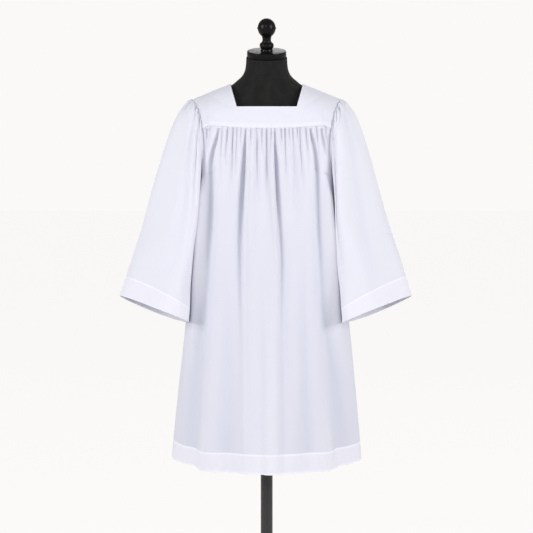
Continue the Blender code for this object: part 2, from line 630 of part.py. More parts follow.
def main():
    clear_scene()
    surplice = bpy.data.collections.new("surplice_on_dress_form")
    bpy.context.scene.collection.children.link(surplice)
    white = new_material("white_cotton", (0.86, 0.86, 0.93), 0.85)
    jersey = new_material("black_jersey", (0.020, 0.020, 0.020), 0.80)
    gloss = new_material("black_gloss_wood", (0.012, 0.012, 0.013), 0.28)
    steel = new_material("black_steel", (0.018, 0.018, 0.019), 0.45)
    for side in ("front", "back"):
        build_yoke(side, white, surplice)
        build_panel(side, white, surplice)
    for wearer_side in ("left", "right"):
        build_sleeve(wearer_side, white, surplice)
    build_torso(jersey, surplice)
    build_neck_fittings(gloss, surplice)
    build_stand(steel, surplice)


main()
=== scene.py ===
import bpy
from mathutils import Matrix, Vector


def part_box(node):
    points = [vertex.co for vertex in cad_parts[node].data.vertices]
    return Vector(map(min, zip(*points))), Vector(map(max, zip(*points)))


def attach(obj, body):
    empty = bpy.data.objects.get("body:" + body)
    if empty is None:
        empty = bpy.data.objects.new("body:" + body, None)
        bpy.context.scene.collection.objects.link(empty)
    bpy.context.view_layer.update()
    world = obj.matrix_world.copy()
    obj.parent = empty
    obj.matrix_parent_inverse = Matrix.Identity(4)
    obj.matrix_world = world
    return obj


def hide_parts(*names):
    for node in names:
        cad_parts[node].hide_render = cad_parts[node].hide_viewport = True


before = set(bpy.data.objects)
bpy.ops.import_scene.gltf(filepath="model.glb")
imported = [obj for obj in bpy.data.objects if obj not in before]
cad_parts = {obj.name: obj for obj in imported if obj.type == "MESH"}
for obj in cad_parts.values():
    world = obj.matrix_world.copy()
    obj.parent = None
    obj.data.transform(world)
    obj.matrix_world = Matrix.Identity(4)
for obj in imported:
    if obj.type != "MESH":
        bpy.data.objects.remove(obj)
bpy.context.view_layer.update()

from math import cos, pi, radians, sin, tan

import bpy
import numpy as np
from bpy.props import FloatProperty, FloatVectorProperty, IntProperty, PointerProperty
from mathutils import Matrix, Vector

bl_info = {
    "name": "Surplice on a Dress Form",
    "version": (1, 0, 0),
    "blender": (4, 5, 0),
    "location": "3D View > Sidebar > Surplice",
    "description": "Sews a gathered white surplice onto its frame and dresses the stand that wears it",
    "category": "Object",
}

# --- The garment's cut, in metres, as the frame was built ---------------------------------------------------
SHOULDER_SLOPE = tan(radians(22.0))
NECK_TOP_X, NECK_TOP_Z = 0.0950, 1.4640
NECK_LOW_X = 0.0765
NECK_LOW_Z = {"front": 1.4015, "back": 1.4150}
YOKE_SEAM_Z = {"front": 1.3466, "back": 1.3300}
YOKE_SEAM_RISE, YOKE_SEAM_DIP = 0.0072, 0.0090
YOKE_HALF_WIDTH = 0.2000
YOKE_ROUNDNESS = 3.0
ARM_CENTRE_X, ARM_CENTRE_Z = 0.1875, 1.3190
ARM_HALF_X, ARM_HALF_Z = 0.0095, 0.1040
ARM_SCOOP_X = {"front": 0.0250, "back": 0.0190}
ARM_SCOOP_Z = 0.0100
UNDERARM_Z = ARM_CENTRE_Z - ARM_HALF_Z
UNDERARM_X = ARM_CENTRE_X - ARM_HALF_X
HEM_Z = 0.4730
SIDE_FLARE = 0.1065
BODY_DEPTH_AT_YOKE = {"front": 0.1180, "back": 0.1090}
BODY_DEPTH_FLARE = {"front": 0.0990, "back": 0.0860}
UNDERARM_ROUNDNESS, HEM_ROUNDNESS = 4.80, 2.05
UNDERARM_EASE = 0.0250
SIDES = {"front": -1.0, "back": 1.0}

# The sleeve past its armhole: outer, inner, front and back points of each ring, from shoulder to cuff.
SLEEVE_STATIONS = np.array((
    ((0.2132, 0, 1.411), (0.1812, -0.004, 1.208), (0.17, -0.098, 1.33), (0.174, 0.094, 1.328)),
    ((0.235, 0, 1.382), (0.185, -0.014, 1.185), (0.177, -0.116, 1.298), (0.189, 0.104, 1.285)),
    ((0.2625, -0.005, 1.312), (0.191, -0.03, 1.14), (0.185, -0.131, 1.234), (0.212, 0.106, 1.212)),
    ((0.2945, -0.016, 1.207), (0.1985, -0.048, 1.062), (0.193, -0.143, 1.148), (0.239, 0.096, 1.125)),
    ((0.3225, -0.027, 1.104), (0.2045, -0.056, 0.978), (0.208, -0.154, 1.05), (0.268, 0.082, 1.02)),
    ((0.347, -0.034, 1.03), (0.2085, -0.062, 0.92), (0.224, -0.163, 0.976), (0.285, 0.073, 0.942)),
    ((0.365, -0.037, 0.972), (0.209, -0.066, 0.882), (0.232, -0.17, 0.927), (0.295, 0.067, 0.901)),
    ((0.385, -0.04, 0.9105), (0.21, -0.07, 0.8445), (0.242, -0.178, 0.877), (0.305, 0.062, 0.856)),
))
CUFF = float(len(SLEEVE_STATIONS))
CUFF_BAND = 7.18
SLEEVE_REACH = {"left": 0.970, "right": 1.0}
SLEEVE_CLEARANCE = 0.003
SLEEVE_HEAD_RISE = 0.003
SLEEVE_CORNER = {"left": (0.17, 0.08), "right": (0.17, 0.0)}      # at the armhole and at the cuff
MIRROR = {"left": 1.0, "right": -1.0}

# --- Folds, placed one by one -------------------------------------------------------------------------------
# A fold is a trough along the cloth. On the body and the yoke each row has the height, the distance from the
# middle, the width of the trough towards the wearer's right and left, and its depth, all in millimetres.
PER_METRE = 1000.0
BODY_FOLDS = {
    "front": (
        ((1345, -153, 3, 3, 4), (1325, -154, 4, 4, 6), (1290, -158, 5, 4, 0)),
        ((1230, -162, 8, 7, 0), (1170, -166, 9, 8, -9), (1080, -171, 10, 10, -12), (950, -181, 12, 12, -9),
         (700, -200, 14, 14, 0)),
        ((1345, -122, 3, 3, 4), (1315, -130, 5, 4, 8), (1288, -138, 6, 5, 9), (1258, -144, 6, 7, 9),
         (1126, -147, 8, 10, 8), (974, -154, 14, 14, 6), (750, -176, 30, 22, 9), (473, -203, 36, 26, 12)),
        ((1345, -54, 3, 3, 4), (1300, -55, 5, 3, 8), (1240, -58, 7, 4, 9), (1174, -62, 9, 4, 9),
         (1050, -65, 12, 5, 5), (900, -66, 16, 8, 3), (650, -69, 24, 12, 0)),
        ((1335, -48, 3, 3, 0), (1240, -50, 3, 4, -4), (1100, -55, 4, 5, -4), (900, -56, 6, 7, -3),
         (600, -56, 8, 8, -2), (473, -56, 8, 8, 0)),
        ((1345, -27, 3, 3, 4), (1300, -26, 5, 5, 6), (1240, -25, 6, 7, 5), (1150, -26, 8, 8, 2),
         (1050, -28, 8, 8, 0)),
        ((1345, 0, 3, 3, 4), (1300, 0, 5, 5, 6), (1230, 1, 6, 7, 5), (1150, 1, 8, 8, 0)),
        ((1345, 21, 3, 3, 4), (1300, 21, 3, 5, 8), (1240, 24, 4, 6, 9), (1174, 27, 4, 7, 9),
         (1100, 31, 5, 9, 6), (1018, 36, 7, 12, 5), (880, 38, 9, 14, 4), (620, 40, 10, 16, 4),
         (473, 41, 10, 18, 4)),
        ((1335, 13, 3, 3, 0), (1260, 14, 3, 3, -4), (1150, 18, 4, 4, -4), (1000, 26, 5, 5, -3),
         (800, 28, 6, 6, 0)),
        ((1345, 66, 3, 3, 4), (1290, 70, 6, 6, 5), (1200, 76, 9, 9, 4), (1080, 82, 12, 12, 0)),
        ((1345, 110, 3, 3, 4), (1315, 118, 4, 5, 8), (1288, 124, 5, 6, 9), (1240, 131, 7, 6, 9),
         (1096, 136, 10, 8, 8), (915, 147, 14, 14, 6), (700, 172, 22, 30, 9), (473, 201, 26, 36, 12)),
        ((1345, 139, 3, 3, 4), (1310, 145, 4, 4, 6), (1270, 152, 4, 5, 0)),
        ((1230, 153, 7, 8, 0), (1170, 158, 8, 9, -9), (1080, 163, 10, 10, -12), (950, 174, 12, 12, -9),
         (700, 194, 14, 14, 0)),
        ((950, 0, 60, 60, 0), (473, 0, 45, 45, -10)),
        ((900, -150, 20, 20, 0), (640, -153, 24, 24, -4), (473, -160, 24, 24, -8)),
        ((900, 150, 20, 20, 0), (640, 153, 24, 24, -4), (473, 162, 24, 24, -8)),
        ((1020, -100, 10, 14, 0), (800, -104, 12, 18, 3), (600, -106, 14, 22, 4), (473, -108, 14, 22, 6)),
        ((980, -12, 10, 8, 0), (760, -12, 12, 8, 2), (473, -12, 16, 10, 3)),
        ((1050, 94, 12, 8, 0), (840, 100, 18, 10, 3), (640, 106, 22, 12, 5), (473, 110, 22, 14, 5)),
    ),
    "back": (
        ((1326, -105, 4, 4, 2), (1180, -127, 12, 12, 8), (900, -152, 14, 16, 10), (473, -195, 26, 22, 20)),
        ((1326, -71, 4, 4, 2), (1230, -78, 7, 7, 4), (1090, -86, 10, 10, 0)),
        ((1326, -36, 4, 5, 3), (1120, -44, 9, 13, 7), (800, -52, 10, 16, 6), (473, -55, 10, 14, 4)),
        ((1326, 4, 3, 4, 2), (1220, 5, 6, 7, 4), (1010, 7, 10, 10, 0)),
        ((1326, 40, 5, 3, 3), (1120, 49, 13, 9, 6), (900, 56, 15, 10, 5), (620, 58, 16, 12, 1)),
        ((1326, 83, 4, 4, 2), (1210, 93, 8, 8, 3), (1060, 101, 10, 10, 0)),
        ((1326, 112, 4, 4, 2), (1160, 133, 13, 12, 8), (880, 158, 16, 15, 11), (473, 199, 22, 27, 22)),
    ),
}
# Gathers under the yoke seam, in millimetres: distance from the middle, lean outwards, length and depth.
GATHERS = {
    "front": (
        (-142.6, -13, 87, 3.4), (-112, -13, 160, 3), (-99, -10, 123, 3.4), (-86, -9, 217, 4),
        (-76, -8, 174, 3.4), (-65.5, -5, 102, 2.6), (-40, -3, 94, 3), (-19.5, 0, 72, 2.8), (-12, 0, 109, 3.4),
        (11, 0, 87, 3), (36.6, 4, 80, 3.4), (46.8, 5, 174, 3.8), (57, 7, 102, 2.8), (77, 8, 87, 3),
        (85.2, 10, 196, 4), (99, 13, 131, 3.4), (126.2, 13, 116, 3.2), (150, 10, 80, 3.2),
    ),
    "back": (
        (-145, -8, 70, 3.4), (-129, -8, 90, 3.4), (-118, -7, 55, 3), (-92, -6, 120, 3.8), (-82, -5, 70, 3),
        (-58, -3, 95, 3.4), (-47, -2, 60, 3), (-23, -1, 130, 3.8), (-11, 0, 65, 3), (15, 0, 80, 3.4),
        (27, 1, 55, 3), (52, 3, 110, 3.6), (66, 4, 80, 3.2), (75, 5, 60, 2.8), (97, 6, 125, 3.8),
        (125, 8, 80, 3.4), (140, 8, 70, 3.4), (153, 8, 50, 3),
    ),
}
# On a sleeve each row has the station, the place round the sleeve in degrees (0 outer, 90 front, 180 inner,
# 270 back), the two widths in degrees and the depth in millimetres.
SLEEVE_UNITS = (1.0, 1.0, 1.0, 1.0, PER_METRE)
SLEEVE_FOLDS = {
    "left": (
        ((0.3, 40, 4, 4, 2), (1.2, 46, 7, 7, 5), (2.4, 50, 9, 9, 6), (4, 56, 9, 10, 5), (8, 62, 9, 10, 2)),
        ((0.4, 84, 4, 4, 2), (1.4, 100, 8, 6, 6), (2.6, 112, 10, 6, 7), (4, 116, 10, 7, 5),
         (6.5, 116, 10, 8, 0)),
        ((0.2, 60, 3, 3, 2), (0.9, 66, 4, 4, 3), (1.6, 70, 5, 5, 0)),
        ((0.5, 24, 5, 5, 2), (1.6, 27, 7, 7, 4), (3.2, 30, 8, 8, 0)),
        ((0.6, 285, 5, 5, 2), (3, 292, 9, 9, 6), (6, 296, 9, 9, 5), (8, 298, 9, 9, 3)),
        ((0.6, 322, 5, 5, 2), (2, 326, 8, 8, 5), (4.6, 330, 9, 9, 0)),
        ((0.8, 246, 5, 5, 2), (2.6, 250, 8, 8, 5), (5.2, 252, 9, 9, 0)),
    ),
    "right": (
        ((0.3, 52, 4, 4, 2), (1.2, 60, 7, 7, 5), (2.4, 68, 9, 8, 6), (4, 74, 9, 9, 4), (6, 76, 9, 9, 0)),
        ((0.3, 70, 4, 4, 2), (1.2, 80, 7, 6, 5), (2.4, 92, 8, 7, 6), (4, 98, 9, 8, 4), (6, 100, 9, 9, 0)),
        ((0.2, 18, 3, 3, 2), (0.8, 22, 5, 5, 3), (1.8, 26, 6, 6, 0)),
        ((0.6, 270, 5, 5, 2), (3, 282, 9, 9, 6), (6, 290, 9, 9, 5), (8, 294, 9, 9, 3)),
        ((0.6, 310, 5, 5, 2), (2.2, 316, 8, 8, 5), (5, 320, 9, 9, 0)),
        ((0.8, 240, 5, 5, 2), (2.6, 246, 8, 8, 5), (5, 250, 9, 9, 0)),
    ),
}
# Soft drag lines of the yoke, from the shoulder towards the neck's corners and the arms.
YOKE_FOLDS = {
    "front": (
        ((1392, -73, 4, 4, -0.4), (1376, -62, 5, 5, -0.8), (1362, -52, 5, 5, 0)),
        ((1392, 72, 4, 4, -0.4), (1376, 60, 5, 5, -0.8), (1362, 50, 5, 5, 0)),
        ((1396, -152, 8, 7, 0), (1378, -154, 8, 6, 2.2), (1358, -156, 7, 6, 1)),
        ((1396, 150, 7, 8, 0), (1378, 150, 6, 8, 2.2), (1358, 152, 6, 7, 1)),
        ((1436, -150, 10, 10, 0), (1424, -132, 12, 12, 1.8), (1408, -106, 12, 12, 1),
         (1398, -92, 10, 10, 0)),
        ((1436, 148, 10, 10, 0), (1424, 130, 12, 12, 1.8), (1408, 104, 12, 12, 1), (1398, 90, 10, 10, 0)),
    ),
    "back": (
        ((1420, -152, 8, 8, 0), (1385, -158, 8, 7, 2), (1345, -160, 7, 7, 0.8)),
        ((1420, 150, 8, 8, 0), (1385, 156, 7, 8, 2), (1345, 158, 7, 7, 0.8)),
        ((1410, -60, 12, 12, 0), (1385, -40, 14, 14, 1.4), (1360, -20, 12, 12, 0)),
    ),
}

# The dress form. Its seams run down at these degrees round it, with their width in degrees.
NECK_TILT = radians(15.0)
CAP_TOP_Z, CAP_THICK, CAP_RADIUS = 1.5505, 0.0170, 0.0514
FORM_COLUMNS, FORM_MEAN_RADIUS = 128, 0.14
FORM_SEAMS = (90.0, 270.0, 0.0, 180.0, 360.0)
FORM_SEAM_WIDTH, FORM_SEAM_DEPTH = 1.6, 0.0009
# Its rings: height, half width, half depth, roundness, and the share of the neck's slanted cut.
FORM_RINGS = np.array((
    (1.5326, 0.0535, 0.0535, 2, 1), (1.515, 0.0545, 0.055, 2, 0.6), (1.498, 0.0575, 0.058, 2, 0.25),
    (1.484, 0.065, 0.062, 2, 0.08), (1.472, 0.078, 0.067, 2, 0), (1.46, 0.094, 0.07, 1.8, 0),
    (1.445, 0.127, 0.074, 1.7, 0), (1.43, 0.159, 0.08, 1.7, 0), (1.415, 0.177, 0.088, 1.9, 0),
    (1.395, 0.183, 0.095, 2.1, 0), (1.35, 0.177, 0.101, 2.3, 0), (1.28, 0.165, 0.102, 2.3, 0),
    (1.2, 0.153, 0.1, 2.2, 0), (1.11, 0.146, 0.102, 2.2, 0), (1.02, 0.144, 0.1, 2.2, 0),
    (0.92, 0.153, 0.106, 2.3, 0), (0.82, 0.164, 0.114, 2.3, 0), (0.76, 0.166, 0.115, 2.3, 0),
    (0.74, 0.16, 0.109, 2.3, 0), (0.735, 0.148, 0.098, 2.3, 0),
))


# --- What a user would change -------------------------------------------------------------------------------
class ClothSettings(bpy.types.PropertyGroup):
    thickness: FloatProperty(name="Cloth", description="Thickness of one layer of cotton", default=0.0006,
                             unit="LENGTH")
    hem_thickness: FloatProperty(name="Hem", description="Thickness of the turned hem", default=0.0018,
                                 unit="LENGTH")
    hem_depth: FloatProperty(name="Hem depth", description="How far the hems are turned up", default=0.050,
                             unit="LENGTH")
    band_depth: FloatProperty(name="Seam band", description="Seam allowance that shows above the gathers",
                              default=0.0110, unit="LENGTH")
    seam_dip: FloatProperty(name="Seam dip", description="How deep the cloth turns in at a seam",
                            default=0.00035, unit="LENGTH")
    allowance: FloatProperty(name="Seam allowance", description="Cloth that runs on under a seam",
                             default=0.009, unit="LENGTH")
    puff: FloatProperty(name="Puff", description="How far the gathers stand out past the yoke",
                        default=0.0034, unit="LENGTH")
    pleats: IntProperty(name="Fine gathers",
                        description="Fine gathers in the yoke seam, front and back each", default=52, min=4)
    pleat_depth: FloatProperty(name="Gather depth", description="Depth of one fine gather", default=0.0010,
                               unit="LENGTH")
    # Painted shade: a fold this deep gets the full painted fold shade in the cotton's colour, and a ridge as
    # high gets a painted highlight.
    fold_shade_depth: FloatProperty(name="Sheer depth",
                               description="A fold this deep shows the dark form through it", default=0.015,
                               unit="LENGTH")
    # Painted shade: how much darker the skirt is painted towards the hem.
    low_painted_shade: FloatProperty(name="Sheer skirt", description="How sheer the skirt is, where it hangs free",
                             default=0.45)
    fold_share: FloatProperty(name="Folds", description="Scales the depth of the body's folds",
                              default=1.55)
    gather_share: FloatProperty(name="Gathers", description="Scales the depth of the body's gathers",
                                default=1.90)
    stitch_pitch: FloatProperty(name="Stitch", description="Distance from one stitch to the next",
                                default=0.0030, unit="LENGTH")


class ColourSettings(bpy.types.PropertyGroup):
    cotton: FloatVectorProperty(name="Cotton", description="One layer of the cotton, over the dark form",
                                subtype="COLOR", size=3, default=(0.592, 0.598, 0.682))
    # Painted shade: the colour that fold troughs are darkened towards.
    sheer: FloatVectorProperty(name="Sheer cotton", description="One layer of the cotton, deep in a fold",
                               subtype="COLOR", size=3, default=(0.530, 0.540, 0.630))
    # Real where the cloth lies double; the same colour is the painted highlight on ridges and sleeves, and at
    # 1.12 times along pressed edges.
    doubled: FloatVectorProperty(name="Doubled cotton",
                                 description="Cotton where it lies double, as in a hem", subtype="COLOR",
                                 size=3, default=(0.658, 0.658, 0.736))
    thread: FloatVectorProperty(name="Thread", description="Sewing thread", subtype="COLOR", size=3,
                                default=(0.70, 0.70, 0.77))
    jersey: FloatVectorProperty(name="Jersey", description="Knitted cover of the form", subtype="COLOR",
                                size=3, default=(0.0085, 0.0085, 0.0083))
    lacquer: FloatVectorProperty(name="Lacquer", description="Black lacquer of the cap and the finial",
                                 subtype="COLOR", size=3, default=(0.0045, 0.0045, 0.0048))
    paint: FloatVectorProperty(name="Paint", description="Black paint of the pole and the base",
                               subtype="COLOR", size=3, default=(0.0120, 0.0120, 0.0125))


class StandSettings(bpy.types.PropertyGroup):
    pole_radius: FloatProperty(name="Pole radius", description="Radius of the pole", default=0.0160,
                               unit="LENGTH")
    base_radius: FloatProperty(name="Base radius", description="Radius of the round base",
                               default=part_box("stand_base")[1].x, unit="LENGTH")
    base_thick: FloatProperty(name="Base thickness", description="Thickness of the base beside the pole",
                              default=0.0140, unit="LENGTH")


class StageSettings(bpy.types.PropertyGroup):
    distance: FloatProperty(name="Camera distance", description="From the camera to the garment's middle",
                            default=3.6, unit="LENGTH")
    pitch: FloatProperty(name="Camera pitch", description="How far the camera looks down",
                         default=radians(4.5), subtype="ANGLE")
    lens: FloatProperty(name="Lens", description="Focal length in millimetres", default=91.76)
    target_height: FloatProperty(name="Target", description="Height that the camera looks at",
                                 default=0.984, unit="LENGTH")
    backdrop: FloatVectorProperty(name="Backdrop", description="Colour of the studio", subtype="COLOR",
                                  size=3, default=(0.956, 0.947, 0.930))


# --- The cloth's surface ------------------------------------------------------------------------------------
def smooth(low, high, value):
    """0 below low, 1 above high, and a soft step between."""
    part = np.clip((value - low) / (high - low), 0.0, 1.0)
    return part * part * (3.0 - 2.0 * part)


def smooth_rows(table, place):
    """The table's rows at places counted in rows, on smooth curves through them."""
    last = len(table) - 1
    first = np.clip(place.astype(int), 0, last - 1)
    part = (place - first).reshape(-1, *[1] * (table.ndim - 1))
    before, here = table[np.maximum(first - 1, 0)], table[first]
    after, beyond = table[first + 1], table[np.minimum(first + 2, last)]
    square, cube = part ** 2, part ** 3
    return (here * (2 * cube - 3 * square + 1) + (after - before) / 2.0 * (cube - 2 * square + part)
            + after * (3 * square - 2 * cube) + (beyond - here) / 2.0 * (cube - square))


def fold_depths(folds, along, across, sharpness=1.7, units=1.0):
    """How far the folds take the cloth inwards, by each point's place along and across them."""
    total = np.zeros_like(across)
    for rows in folds:
        table = np.array(sorted(rows)) / units
        place = table[:, 0]
        middle, low_side, high_side, depth = (np.interp(along, place, column) for column in table[:, 1:].T)
        offset = across - middle
        reach = np.where(offset < 0.0, low_side, high_side)
        within = (along >= place[0]) & (along <= place[-1])
        total += within * depth * np.exp(-np.abs(offset / reach) ** sharpness)
    return total


def body_half_width(z):
    up = np.minimum(z, YOKE_SEAM_Z["front"]) - UNDERARM_Z
    taper = (YOKE_HALF_WIDTH - UNDERARM_X) / (YOKE_SEAM_Z["front"] - UNDERARM_Z)
    eased = 0.5 * (up + np.sqrt(up * up + UNDERARM_EASE ** 2) - UNDERARM_EASE)
    return UNDERARM_X + taper * eased + SIDE_FLARE * (eased - up)


def body_depth(side, z):
    return BODY_DEPTH_AT_YOKE[side] + BODY_DEPTH_FLARE[side] * np.maximum(0.0, YOKE_SEAM_Z[side] - z)


def body_roundness(side, z):
    up = smooth(UNDERARM_Z, YOKE_SEAM_Z[side], z)
    above = UNDERARM_ROUNDNESS + (YOKE_ROUNDNESS - UNDERARM_ROUNDNESS) * up
    below = HEM_ROUNDNESS + (UNDERARM_ROUNDNESS - HEM_ROUNDNESS) * (z - HEM_Z) / (UNDERARM_Z - HEM_Z)
    return np.where(z > UNDERARM_Z, above, below)


def seam_height(side, x):
    rise = YOKE_SEAM_RISE * np.minimum(1.0, np.abs(x) / 0.15) ** 2
    return YOKE_SEAM_Z[side] + rise - YOKE_SEAM_DIP * smooth(0.145, 0.168, np.abs(x))


def shoulder_height(x):
    return NECK_TOP_Z - (np.abs(x) - NECK_TOP_X) * SHOULDER_SLOPE


def armhole_at(side, angle):
    x = ARM_CENTRE_X + ARM_HALF_X * np.cos(angle) - ARM_SCOOP_X[side] * np.sin(angle)
    return x, ARM_CENTRE_Z + ARM_HALF_Z * np.cos(angle) + ARM_SCOOP_Z * np.sin(angle) ** 2


def armhole_angle(z):
    rest = z - ARM_CENTRE_Z - ARM_SCOOP_Z
    root = np.sqrt(ARM_HALF_Z ** 2 - 4.0 * ARM_SCOOP_Z * rest)
    return np.arccos(np.clip((ARM_HALF_Z - root) / (2.0 * ARM_SCOOP_Z), -1.0, 1.0))


def seam_angle(side):
    """The angle of the armhole where the yoke seam reaches it, found by halving."""
    low, high = 0.5, 2.5
    for _ in range(40):
        middle = (low + high) / 2.0
        x, z = armhole_at(side, middle)
        low, high = (middle, high) if z > seam_height(side, x) else (low, middle)
    return low


def yoke_depth(side, x, z):
    """How far the yoke stands from the shoulder line at x, z."""
    seam = seam_height(side, x)
    up = np.clip((z - seam) / (shoulder_height(x) - seam), 0.0, 1.0)
    width = np.minimum(1.0, (np.abs(x) / YOKE_HALF_WIDTH) ** YOKE_ROUNDNESS)
    return BODY_DEPTH_AT_YOKE[side] * (1.0 - width) ** (1.0 / YOKE_ROUNDNESS) * np.sqrt(1.0 - up * up)


def section_turn(side, x, z):
    ratio = np.minimum(1.0, (np.abs(x) / body_half_width(z)) ** (body_roundness(side, z) / 2.0))
    return np.arcsin(ratio) * np.sign(x)


def armhole_turn(side, z):
    x = armhole_at(side, armhole_angle(np.maximum(z, UNDERARM_Z)))[0]
    return np.where(z <= UNDERARM_Z, pi / 2.0, section_turn(side, x, z))


def body_section(side, turn, z):
    """x and y of the plain body, and the direction in which it faces."""
    half_width, depth, power = body_half_width(z), body_depth(side, z), 2.0 / body_roundness(side, z)
    x = half_width * np.sin(np.abs(turn)) ** power
    y = depth * np.maximum(0.0, np.cos(turn)) ** power
    face = np.stack((x / half_width ** 2, y / depth ** 2), -1)
    face /= np.linalg.norm(face, axis=-1, keepdims=True)
    sign = np.where(turn < 0.0, -1.0, 1.0)
    return x * sign, y * SIDES[side], face[..., 0] * sign, face[..., 1] * SIDES[side]


def even_turns(side, across, row_z, edge_turn):
    """Turns that space the columns of each row evenly along the cloth, from edge to edge."""
    dense = np.linspace(-1.0, 1.0, 401)
    x, y = body_section(side, dense * edge_turn[:, None], row_z[:, None] + 0.0 * dense)[:2]
    steps = np.hypot(np.diff(x, axis=1), np.diff(y, axis=1))
    run = np.concatenate((np.zeros((len(row_z), 1)), np.cumsum(steps, 1)), 1)
    run = 2.0 * run / run[:, -1:] - 1.0
    return np.stack([np.interp(across, row, dense) for row in run]) * edge_turn[:, None]


def run_of(path):
    """How far each point of a path lies along it."""
    return np.concatenate(((0.0,), np.cumsum(np.linalg.norm(np.diff(path, axis=0), axis=1))))


def walk(path, run, places):
    """A path's points, or what else goes with them, at places measured along its run."""
    return np.stack([np.interp(places, run, path[:, axis]) for axis in range(3)], -1)


def armhole_edge(side, count):
    """The armhole from the yoke seam to the underarm, in even steps along the cloth."""
    angle = pi - (pi - seam_angle(side)) * np.linspace(1.0, 0.0, 4001) ** 2
    points = armhole_point(side, angle)
    points[-1] = UNDERARM_X, 0.0, UNDERARM_Z
    run = run_of(points)
    return walk(points, run, np.linspace(0.0, run[-1], count))


def armhole_point(side, angle):
    x, z = armhole_at(side, angle)
    on_body = body_section(side, armhole_turn(side, z), z)
    above = z >= seam_height(side, x)
    return np.stack((np.where(above, x, on_body[0]),
                     np.where(above, yoke_depth(side, x, z) * SIDES[side], on_body[1]), z), -1)


def facing(points, closed=False):
    """The outward direction of a grid of points whose rows run down and whose columns run anticlockwise."""
    down = np.gradient(points, axis=0)
    if closed:
        along = np.roll(points, -1, 1) - np.roll(points, 1, 1)
    else:
        along = np.gradient(points, axis=1)
    face = np.cross(down, along)
    return face / np.maximum(np.linalg.norm(face, axis=-1, keepdims=True), 1e-12)


# --- Sewing tools -------------------------------------------------------------------------------------------
# The layer value stored on cloth: 0 single, 1 double, below 0 a painted shade deep in a fold and down the
# skirt, between 0 and 1 on single cloth a painted highlight on ridges and sleeves, 2 a painted highlight
# along a pressed edge.
HEM_LAYERS, EDGE_HIGHLIGHT_LAYERS = 0.7, 2.0


def deselect_all():
    if bpy.context.object and bpy.context.object.mode != "OBJECT":
        bpy.ops.object.mode_set(mode="OBJECT")
    bpy.ops.object.select_all(action="DESELECT")


def activate(piece):
    deselect_all()
    piece.select_set(True)
    bpy.context.view_layer.objects.active = piece


def new_piece(name, vertices, faces, material):
    mesh = bpy.data.meshes.new(name)
    mesh.from_pydata(np.asarray(vertices).tolist(), [], faces)
    mesh.materials.append(material)
    piece = bpy.data.objects.new(name, mesh)
    bpy.context.scene.collection.objects.link(piece)
    mesh.shade_smooth()
    return piece


def lay_threads(mesh, flat):
    """The cloth's flat pattern, in metres, from each vertex's place on it."""
    corner = np.zeros(len(mesh.loops), np.int32)
    mesh.loops.foreach_get("vertex_index", corner)
    mesh.uv_layers.new(name="threads").data.foreach_set("uv", flat[corner].ravel().astype(np.float32))


def grid_faces(rows, columns, present, closed=False):
    """Quads between the rows and columns whose corners are all present."""
    index = np.arange(rows * columns).reshape(rows, columns)
    after = np.roll(index, -1, 1)
    quads = np.stack((index[:-1], after[:-1], after[1:], index[1:]), -1)
    there = present[:-1] & present[1:] & np.roll(present, -1, 1)[1:] & np.roll(present, -1, 1)[:-1]
    if not closed:
        quads, there = quads[:, :-1], there[:, :-1]
    return quads[there]


def sew_sheet(name, points, layers_and_painted_light, material, cloth, closed=False, present=None, turned=False):
    """A thin shell of cloth inside its outer face. Its layer value is 1 where the cloth lies double, and it
    also carries the painted shade and painted highlights of the cotton's colour.
    """
    rows, columns = points.shape[:2]
    if present is None:
        present = np.ones((rows, columns), bool)
    quads = grid_faces(rows, columns, present, closed)
    if turned:
        quads = quads[:, ::-1]
    keep = np.zeros(rows * columns, bool)
    keep[quads.ravel()] = True
    renumber = np.cumsum(keep) - 1
    piece = new_piece(name, points.reshape(-1, 3)[keep], renumber[quads].tolist(), material)
    mesh = piece.data
    across = np.zeros((rows, columns))
    across[:, 1:] = np.cumsum(np.linalg.norm(np.diff(points, axis=1), axis=-1), 1)
    across -= across[:, columns // 2][:, None]
    down = np.zeros((rows, columns))
    down[:-1] = -np.cumsum(np.linalg.norm(np.diff(points, axis=0), axis=-1)[::-1], 0)[::-1]
    lay_threads(mesh, np.stack((across, down), -1).reshape(-1, 2)[keep])
    # The layer value, with its painted shade and painted highlights, goes onto the mesh and sets the wall's
    # thickness.
    double = layers_and_painted_light.reshape(-1)[keep]
    mesh.attributes.new("layers_and_painted_light", "FLOAT", "POINT").data.foreach_set("value", double.astype(np.float32))
    group = piece.vertex_groups.new(name="wall")
    thin = cloth.thickness / cloth.hem_thickness
    for weight, chosen in ((thin, double < HEM_LAYERS), (1.0, double >= HEM_LAYERS)):
        group.add(np.flatnonzero(chosen).tolist(), weight, "REPLACE")
    wall = piece.modifiers.new("wall", "SOLIDIFY")
    wall.thickness = cloth.hem_thickness
    wall.offset = -1.0
    wall.vertex_group = group.name
    activate(piece)
    bpy.ops.object.modifier_apply(modifier=wall.name)
    return piece


# Down a gather: shares of its length and its lean, how far it has opened, and what is left of its depth.
GATHER_ROWS = ((0.0, 0.0, 1.0, 1.0), (0.25, 0.2, 1.1, 1.0), (0.6, 0.6, 1.5, 0.65), (1.0, 1.0, 2.2, 0.0))


def gather(middle, lean, length, deep, width):
    """A short trough that starts sharp at a seam and opens as it runs down from it."""
    return [(-along * length, middle + aside * lean, width * opened, width * opened, deep * deep_share)
            for along, aside, opened, deep_share in GATHER_ROWS]


def gather_folds(seed, count, half_span, jitter, lengths, depth, width):
    """A row of small gathers, as uneven as hand gathering leaves them."""
    draw = np.random.default_rng(seed)
    folds = []
    for step in range(count):
        middle = half_span * (2.0 * (step + 0.5) / count - 1.0) + draw.uniform(-1.0, 1.0) * jitter
        length = draw.uniform(*lengths)
        folds.append(gather(middle, middle * 0.6 * length, length, depth * draw.uniform(0.5, 1.2), width))
    return folds


def stitch_path(points, row):
    """The line of a hem's stitches, a little above the row at which the cloth turns double."""
    return points[row] * 0.4 + points[row - 1] * 0.6


